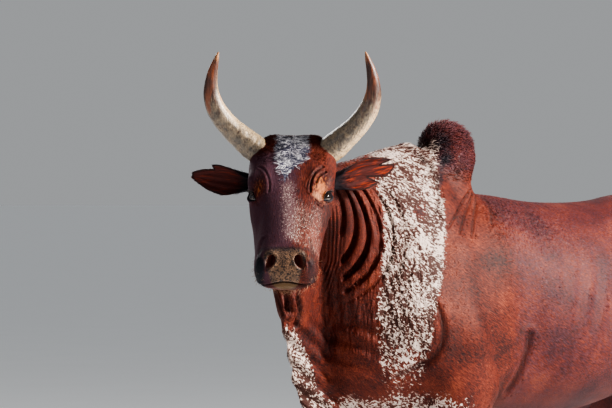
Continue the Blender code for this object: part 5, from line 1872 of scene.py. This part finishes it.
# the dark purple-brown of the face's darker hair, also used for painted shade
DUSKY_AND_SHADE = (0.048, 0.020, 0.030)
PALE_TIPS_AND_SHEEN = (0.42, 0.27, 0.235)
CREASE_SHADE = (0.010, 0.004, 0.004)
ROAN_WHITE = (0.35, 0.28, 0.25)
ROAN_BROWN = (0.034, 0.0105, 0.0075)
BLAZE_WHITE = (0.60, 0.58, 0.60)
BLAZE_GREY = (0.045, 0.043, 0.066)
TAN = (0.27, 0.090, 0.032)
PAINTED_LIGHT_TAN = (0.36, 0.18, 0.10)
BLUE_BLACK = (0.008, 0.007, 0.011)
MUZZLE = (0.150, 0.088, 0.057)
MUZZLE_DARK = (0.030, 0.022, 0.020)
LIP_BROWN = (0.075, 0.042, 0.019)
NOSTRIL_RED = (0.070, 0.013, 0.010)
BODY_TURN = (math.radians(-29), 0, 0)


def hide(name, coated):
    """Short mahogany coat with the white, roan, tan and dark marks, painted shade and highlights, and the
    muzzle's bare skin.
    """
    look = Look(name, MAHOGANY, 0.55)
    place, headwise = look.spot("place"), look.spot("headwise")
    on_head, on_legs = look.fact("on_head"), look.fact("on_legs")

    def grain(fine, long, detail=2.0):
        """Noise drawn out along the lie of the coat."""
        body = look.noise(look.stretched(place, (fine, long, fine), BODY_TURN), detail)
        face = look.noise(look.stretched(headwise, (fine, long, fine)), detail)
        legs = look.noise(look.stretched(place, (fine, fine, long)), detail)
        return look.mix_numbers(on_head, look.mix_numbers(on_legs, body, legs), face)

    fine = grain(420, 60)
    dashes = grain(230, 75, 1.0)
    clouds = look.noise(place, 3.0, 0.55, 9.0)
    patches = look.noise(place, 2.0, 0.5, 105.0)
    wide = look.noise(place, 1.0, 0.5, 16.0)
    tint = look.fact("tint") if coated else look.noise(place, 1.0, 0.5, 330.0)
    uneven = look.plus(look.times(clouds, 0.45), look.times(fine, 0.55))
    colour = look.mix(look.band(uneven, 0.36, 0.56), MAHOGANY_DARK, MAHOGANY)
    colour = look.mix(look.band(uneven, 0.52, 0.68, 0.0, 0.8), colour, MAHOGANY_LIGHT)
    colour = look.mix(look.band(tint, 0.6, 1.0, 0.0, 0.35), colour, MAHOGANY_LIGHT)

    def ragged(fact, low=0.35, high=0.65, by=0.9):
        """A mark whose edge is broken up by the grain."""
        moved = look.plus(look.fact(fact), look.times(look.minus(dashes, 0.5), by))
        return look.band(moved, low, high)

    # painted shade on the right half of the face, laid over its darker hair
    colour = look.mix(ragged("dusk_and_shade", 0.10, 1.0, 0.9), colour, DUSKY_AND_SHADE)
    colour = look.mix(ragged("tan", 0.25, 0.95, 1.5), colour, TAN)
    # painted highlight by the left eye
    colour = look.mix(look.times(ragged("lit", 0.25, 1.00, 1.2), 0.45), colour, PAINTED_LIGHT_TAN)
    # pale hair tips down the nose, and painted sheen on the sunlit left cheek
    colour = look.mix(look.times(ragged("ticks_and_sheen", 0.20, 1.30, 1.4), 0.17), colour, PALE_TIPS_AND_SHEEN)
    brown = look.plus(look.times(dashes, 0.38), look.times(patches, 0.34))
    brown = look.plus(brown, look.times(tint, 0.04))
    brown = look.plus(brown, look.times(wide, 0.20))
    roan = look.mix(look.band(brown, 0.440, 0.480), ROAN_WHITE, ROAN_BROWN)
    edge = look.plus(look.fact("roan"), look.times(look.minus(brown, 0.5), -3.0))
    here = look.band(look.fact("roan"), 0.02, 0.22)
    colour = look.mix(look.times(look.band(edge, 0.35, 0.60), here), colour, roan)
    waves = look.noise(look.stretched(headwise, (65, 230, 180)), 2.0, 0.6)
    streaks = look.plus(look.times(waves, 0.75), look.times(tint, 0.15))
    streaks = look.minus(streaks, look.times(look.fact("bright"), 0.10))
    blaze = look.mix(look.band(streaks, 0.30, 0.43), BLAZE_WHITE, BLAZE_GREY)
    colour = look.mix(ragged("blaze", 0.35, 0.60, 0.7), colour, blaze)
    # white ticks: white hairs down the nose, and painted glints on the left cheek
    spots = look.noise(look.stretched(headwise, (560, 170, 560)), 1.0)
    spots = look.band(look.plus(spots, look.times(look.fact("ticks_and_sheen"), 0.13)), 0.70, 0.76)
    spots = look.times(spots, look.band(look.fact("ticks_and_sheen"), 0.05, 0.5, 0.0, 0.75))
    colour = look.mix(spots, colour, ROAN_WHITE)
    colour = look.mix(ragged("dark", 0.25, 0.85, 0.5), colour, BLUE_BLACK)
    skin_spots = look.noise(headwise, 2.0, 0.6, 210.0)
    muzzle = look.mix(look.band(skin_spots, 0.44, 0.62), MUZZLE, MUZZLE_DARK)
    blotches = look.noise(headwise, 2.0, 0.5, 38.0)
    muzzle = look.mix(look.band(blotches, 0.45, 0.65, 0.0, 0.5), muzzle, MUZZLE_DARK)
    muzzle = look.mix(look.fact("lower"), muzzle, LIP_BROWN)
    muzzle = look.mix(look.times(look.fact("soot"), 0.85), muzzle, BLUE_BLACK)
    colour = look.mix(look.fact("bare"), colour, muzzle)
    colour = look.mix(look.fact("hollow"), colour, NOSTRIL_RED)
    # painted shade in the creases and fold gaps
    colour = look.mix(look.times(look.fact("crease"), 0.85), colour, CREASE_SHADE)
    cells = look.node("TexVoronoi", {"Vector": headwise, "Scale": 260.0, "Randomness": 0.9})
    bare = look.fact("bare")
    height = look.mix_numbers(bare, fine, look.times(cells.outputs["Distance"], -1.2))
    look.set(
        base_color=colour,
        roughness=look.band(bare, 0.0, 1.0, 0.60, 0.36),
        specular_ior_level=0.12 if coated else 0.14,
    )
    if not coated:
        wrinkles = look.noise(look.stretched(place, (95, 95, 13)), 2.0, 0.5)
        folds = look.times(wrinkles, look.fact("loose"))
        look.set(normal=look.bump(height, 0.0012, 0.8, look.bump(folds, 0.009, 0.9)))
    return look.made


HORN_GREY = (0.076, 0.061, 0.047)
HORN_TAN = (0.185, 0.138, 0.092)
HORN_CREAM_AND_HIGHLIGHT = (0.40, 0.285, 0.165)
HORN_DARK = (0.034, 0.012, 0.008)
HORN_ORANGE = (0.22, 0.060, 0.020)
HORN_TIP = (0.30, 0.15, 0.07)


def horn_look():
    """Mottled grey-brown fibres with a cream strip along the side that faces the light, partly a painted
    highlight, and dark red-brown ends.
    """
    look = Look("horn_fibre", HORN_GREY, 0.42)
    share, outer, turned = look.parts(look.spot("place"))
    place = look.place()
    fibres = look.noise(look.stretched(place, (210, 210, 40)), 4.0, 0.62)
    mottle = look.noise(place, 5.0, 0.68, 60.0)
    flecks = look.noise(look.stretched(place, (300, 300, 120)), 3.0, 0.7)
    glow = look.noise(look.stretched(place, (60, 60, 14)), 2.0)

    def ragged(value, by):
        return look.plus(value, look.times(look.minus(fibres, 0.5), by))

    colour = look.mix(look.band(mottle, 0.36, 0.66), HORN_GREY, HORN_TAN)
    # cream horn with a painted highlight, on the side that faces the light
    colour = look.mix(look.band(ragged(turned, 1.4), 0.30, 0.80, 0.0, 0.9), colour, HORN_CREAM_AND_HIGHLIGHT)
    colour = look.mix(look.band(flecks, 0.50, 0.66, 0.0, 0.80), colour, HORN_DARK)
    upper = look.band(ragged(share, 0.45), 0.40, 0.62)
    inner = look.band(ragged(outer, 0.8), -0.80, -0.35)
    colour = look.mix(look.times(upper, inner), colour, HORN_DARK)
    warm = look.times(look.band(ragged(share, 0.5), 0.36, 0.56), look.band(glow, 0.44, 0.68))
    colour = look.mix(look.times(warm, 0.60), colour, HORN_ORANGE)
    tip = look.band(ragged(share, 0.3), 0.86, 0.97, 0.0, 0.7)
    colour = look.mix(tip, colour, HORN_TIP)
    look.set(base_color=colour, roughness=look.band(mottle, 0.3, 0.7, 0.34, 0.52))
    return look.set(normal=look.bump(fibres, 0.0012, 0.8))


# How bright the streaks inside each ear are; the left ear, on the side the light falls on, has the brighter
# ones, as painted light
EAR_PAINTED_LIGHT = {1: 1.0, -1: 0.35}
EAR_RED = (0.058, 0.013, 0.011)
EAR_ORANGE = (0.20, 0.031, 0.012)
EAR_DARK = (0.014, 0.006, 0.006)


def ear_look(name, spot, glow):
    """Red-brown with brighter streaks inside, dark edges and a blue-black root."""
    look = Look(name, EAR_RED, 0.6)
    place = look.spot(spot)
    along = look.parts(place)[0]
    streaks = look.noise(look.stretched(place, (22, 190, 190)), 2.0)
    fine = look.noise(look.stretched(place, (90, 700, 700)), 2.0)
    colour = look.mix(look.band(streaks, 0.50, 0.66, 0.0, glow), EAR_RED, EAR_ORANGE)
    colour = look.mix(look.band(fine, 0.45, 0.70, 0.0, 0.5), colour, EAR_DARK)
    colour = look.mix(look.band(look.fact("rim"), 0.25, 0.8, 0.0, 0.9), colour, EAR_DARK)
    colour = look.mix(look.band(along, 0.030, 0.075, 0.95, 0.0), colour, BLUE_BLACK)
    look.set(base_color=colour, roughness=0.7, specular_ior_level=0.15)
    return look.set(normal=look.bump(fine, 0.0008, 0.7))


EYE_BASE = (0.02, 0.010, 0.006)
IRIS_DARK = (0.016, 0.007, 0.004)
IRIS_BROWN = (0.040, 0.018, 0.008)
IRIS_EDGE = (0.005, 0.004, 0.004)
PUPIL = (0.002, 0.002, 0.003)
EYE_WHITE = (0.06, 0.040, 0.032)
# Half the pupil's width and height, as shares of the eyeball's radius
PUPIL_WIDE = 0.40
PUPIL_TALL = 0.20


def eye_look():
    """A wet, nearly black eye: a dark brown iris and a level, oval pupil."""
    look = Look("eye_wet", EYE_BASE, 0.06)
    gaze = look.spot("gaze")
    x, y, _ = look.parts(gaze)
    square = look.plus(look.sum("POWER", x, 2.0), look.sum("POWER", y, 2.0))
    from_middle = look.sum("SQRT", square)
    rays = look.noise(look.stretched(gaze, (9, 9, 2)), 3.0)
    colour = look.mix(look.band(rays, 0.35, 0.7), IRIS_DARK, IRIS_BROWN)
    wide, tall = look.times(x, 1 / PUPIL_WIDE), look.times(y, 1 / PUPIL_TALL)
    pupil = look.plus(look.sum("POWER", wide, 2.0), look.sum("POWER", tall, 2.0))
    colour = look.mix(look.band(pupil, 0.8, 1.2, 1.0, 0.0), colour, PUPIL)
    colour = look.mix(look.band(from_middle, 0.58, 0.68), colour, IRIS_EDGE)
    colour = look.mix(look.band(from_middle, 0.90, 0.99), colour, EYE_WHITE)
    return look.set(base_color=colour, coat_weight=0.7, coat_roughness=0.03, specular_ior_level=0.5)


HOOF_BASE = (0.060, 0.048, 0.040)
HOOF_DARK = (0.034, 0.027, 0.024)
HOOF_BROWN = (0.115, 0.090, 0.070)
HOOF_WORN = (0.16, 0.135, 0.11)


def hoof_look():
    """Dark horn with growth rings and upright streaks, worn paler near the ground."""
    look = Look("hoof_horn", HOOF_BASE, 0.48)
    place = look.place()
    streaks = look.noise(look.stretched(place, (260, 260, 25)), 3.0)
    rings = look.noise(look.stretched(place, (12, 12, 260)), 2.0)
    height = look.parts(place)[2]
    colour = look.mix(look.band(streaks, 0.4, 0.65), HOOF_DARK, HOOF_BROWN)
    colour = look.mix(look.band(height, 0.0, 0.018, 0.7, 0.0), colour, HOOF_WORN)
    ridges = look.bump(rings, 0.0015, 0.7)
    return look.set(base_color=colour, normal=ridges, roughness=look.band(streaks, 0.3, 0.7, 0.4, 0.6))


# The dark and the light tone of long hair, of the tail's brush and of the lashes
LONG_TONES = ((0.16, 0.055, 0.025), (0.50, 0.33, 0.21))
BRUSH_TONES = ((0.010, 0.007, 0.007), (0.050, 0.026, 0.018))
LASH_TONES = ((0.01, 0.008, 0.008), (0.03, 0.02, 0.018))


def brush_look(name, dark, light):
    """Coarse hair, a little lighter in some locks."""
    look = Look(name, dark, 0.5)
    colour = look.mix(look.fact("tint"), dark, light)
    return look.set(base_color=colour, specular_ior_level=0.4)


def dress(things, look, body_slot, *nodes):
    """Finishes pieces, fixes them to the frame and hides the nodes that they stand for."""
    for thing in things:
        thing.data.materials.clear()
        thing.data.materials.append(look)
        set_coordinates(thing.data, coordinates(thing.data) + np.array(SHIFT))
        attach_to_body(thing, "root")
    if nodes:
        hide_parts(*nodes)


def frame_shift():
    """How far the frame is from the anatomy's own origin, read from one hoof."""
    low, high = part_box("hoof_hind_left_outer")
    foot = foot_centre("leg_hind_left")
    return Vector(((low[0] + high[0]) / 2 - foot.x - CLAW_OFFSET, low[1] - foot.y + CLAW[0][2], 0))


# How sharp an edge of the ear is to be its rim, in radians, and how far its dark edge reaches
RIM_ANGLE = 1.0
RIM_REACH = 0.0055


def ear_rims(cup):
    """Stores how near each point of an ear is to its edge."""
    shell = bmesh.new()
    shell.from_mesh(cup.data)
    sharp = [edge for edge in shell.edges if edge.calc_face_angle(0) > RIM_ANGLE]
    edges = np.array([tuple(vert.co) for edge in sharp for vert in edge.verts])
    shell.free()
    points = coordinates(cup.data)
    nearest = np.array([np.linalg.norm(edges - point, axis=1).min() for point in points])
    attach(cup, "rim", bell(nearest, 0, RIM_REACH))


def everywhere(points):
    return np.ones(len(points))


# The nodes that the skin stands for
FLESH = ("head", "neck", "dewlap", "hump", "torso", *LEGS)
# The tail's coat: name, count, where, seed, length, width and lift
TAIL_COAT = ("coat_tail", 2800, everywhere, 501, 0.016, 0.0024, 0.15)


def model():
    """Makes every piece, finishes it and fixes it to the frame."""
    body = skin()
    mark(body)
    body_coats, chart = coats(body)
    tail_skin = tail()
    mark(tail_skin)
    name, *grow = TAIL_COAT
    tail_coat = sprout(name, tail_skin, chart, *grow, steer=downwards)
    skin_look, coat_look = hide("hide_skin", False), hide("hide_coat", True)
    hair = whiskers(body, chart)
    brush = tail_brush(chart)
    dress([body], skin_look, "hide", *FLESH)
    dress(body_coats, coat_look, "hide")
    dress([tail_skin], skin_look, "hide", "tail")
    dress([tail_coat], coat_look, "hide")
    dress(hair, brush_look("hair_long", *LONG_TONES), "hide")
    dress([brush], brush_look("brush_hair", *BRUSH_TONES), "switch_hair", "tail_switch")
    horns, claws = horn_look(), hoof_look()
    for side, word in WORDS.items():
        dress([horn(side)], horns, "horn", f"horn_{word}")
        dress([eyeball(side)], eye_look(), "eye", f"eye_{word}")
        dress([lashes(side, chart)], brush_look(f"lash_{word}", *LASH_TONES), "hide")
        cup = ear(side)
        glow = EAR_PAINTED_LIGHT[side]
        ear_rims(cup)
        hairs = ear_coat(cup, side)
        dress([cup], ear_look(f"ear_skin_{word}", "place", glow), "ear_hide", f"ear_{word}")
        dress(hairs, ear_look(f"ear_coat_{word}", "on_ear", glow), "ear_hide")
    for name in LEGS:
        for out, word in ((1, "outer"), (-1, "inner")):
            dress([claw(name, out)], claws, "hoof", f"hoof_{name.replace('leg_', '')}_{word}")
        dress(dewclaws(name), claws, "hoof")


# The studio. The camera looks level, along a line turned from the bull's own.
CAMERA_TURN = math.radians(48)
CAMERA_FAR = 12.5
CAMERA_ASIDE = -0.377
CAMERA_HEIGHT = 1.2146
FRAME_WIDTH = 612
FOCAL_PIXELS = 4440
SENSOR = 36
CLIP_END = 10000

# Each light: its place to the right of the camera's line, towards the camera and up, then its size, power
# and colour. All point at one place.
LIGHTS = {
    "key": (5.6, 1.6, 4.2, 1.5, 1850, (1.0, 0.955, 0.89)),
    "fill": (-4.5, 4.0, 2.4, 4.0, 50, (0.84, 0.90, 1.0)),
    "top": (0, 0, 6.0, 4.0, 85, (1, 1, 1)),
    "rear": (-2.0, -5.0, 3.6, 3.0, 170, (1, 1, 1)),
}
LIT_PLACE = Vector((0, -0.2, 1.0))
WORLD_TONE = (0.86, 0.88, 0.90, 1)
WORLD_STRENGTH = 0.34
# The floor reaches past the horizon, and a faint glow makes its far end as light as the studio
FLOOR_SIZE = 6000
FLOOR_TONES = ((0.84, 0.85, 0.86), (0.87, 0.88, 0.89))
FLOOR_BASE = (0.80, 0.80, 0.80)
GLOW_TONE = (0.956, 0.978, 1.0, 1)
GLOW_STRENGTH = 0.0413


def camera():
    right = Vector((math.cos(CAMERA_TURN), math.sin(CAMERA_TURN), 0))
    back = Vector((math.sin(CAMERA_TURN), -math.cos(CAMERA_TURN), 0))
    lens = bpy.data.cameras.new("camera")
    lens.sensor_width = SENSOR
    lens.lens = FOCAL_PIXELS * SENSOR / FRAME_WIDTH
    lens.clip_end = CLIP_END
    made = linked("camera", lens)
    made.location = SHIFT + right * CAMERA_ASIDE + Vector((0, 0, CAMERA_HEIGHT)) + back * CAMERA_FAR
    made.rotation_euler = (math.radians(90), 0, CAMERA_TURN)
    bpy.context.scene.camera = made
    return right, back


def studio():
    right, back = camera()
    for name, (aside, towards, up, size, power, colour) in LIGHTS.items():
        light = bpy.data.lights.new(name, "AREA")
        light.shape = "DISK"
        light.size = size
        light.energy = power
        light.color = colour
        made = linked(name, light)
        made.location = right * aside + back * towards + Vector((0, 0, up))
        made.rotation_euler = (LIT_PLACE - made.location).to_track_quat("-Z", "Y").to_euler()
    world = bpy.data.worlds.new("studio")
    world.use_nodes = True
    background = world.node_tree.nodes["Background"]
    background.inputs[0].default_value = WORLD_TONE
    background.inputs[1].default_value = WORLD_STRENGTH
    bpy.context.scene.world = world
    bpy.context.scene.view_settings.look = "AgX - High Contrast"
    floor = primitive("floor", bpy.ops.mesh.primitive_plane_add, size=FLOOR_SIZE)
    pale = Look("floor_pale", FLOOR_BASE, 0.9)
    tone = pale.noise(pale.place(), 3.0, 0.5, 1.5)
    pale.set(base_color=pale.mix(tone, *FLOOR_TONES), specular_ior_level=0.1)
    pale.set(emission_color=GLOW_TONE, emission_strength=GLOW_STRENGTH)
    floor.data.materials.append(pale.made)


SHIFT = frame_shift()
model()
studio()
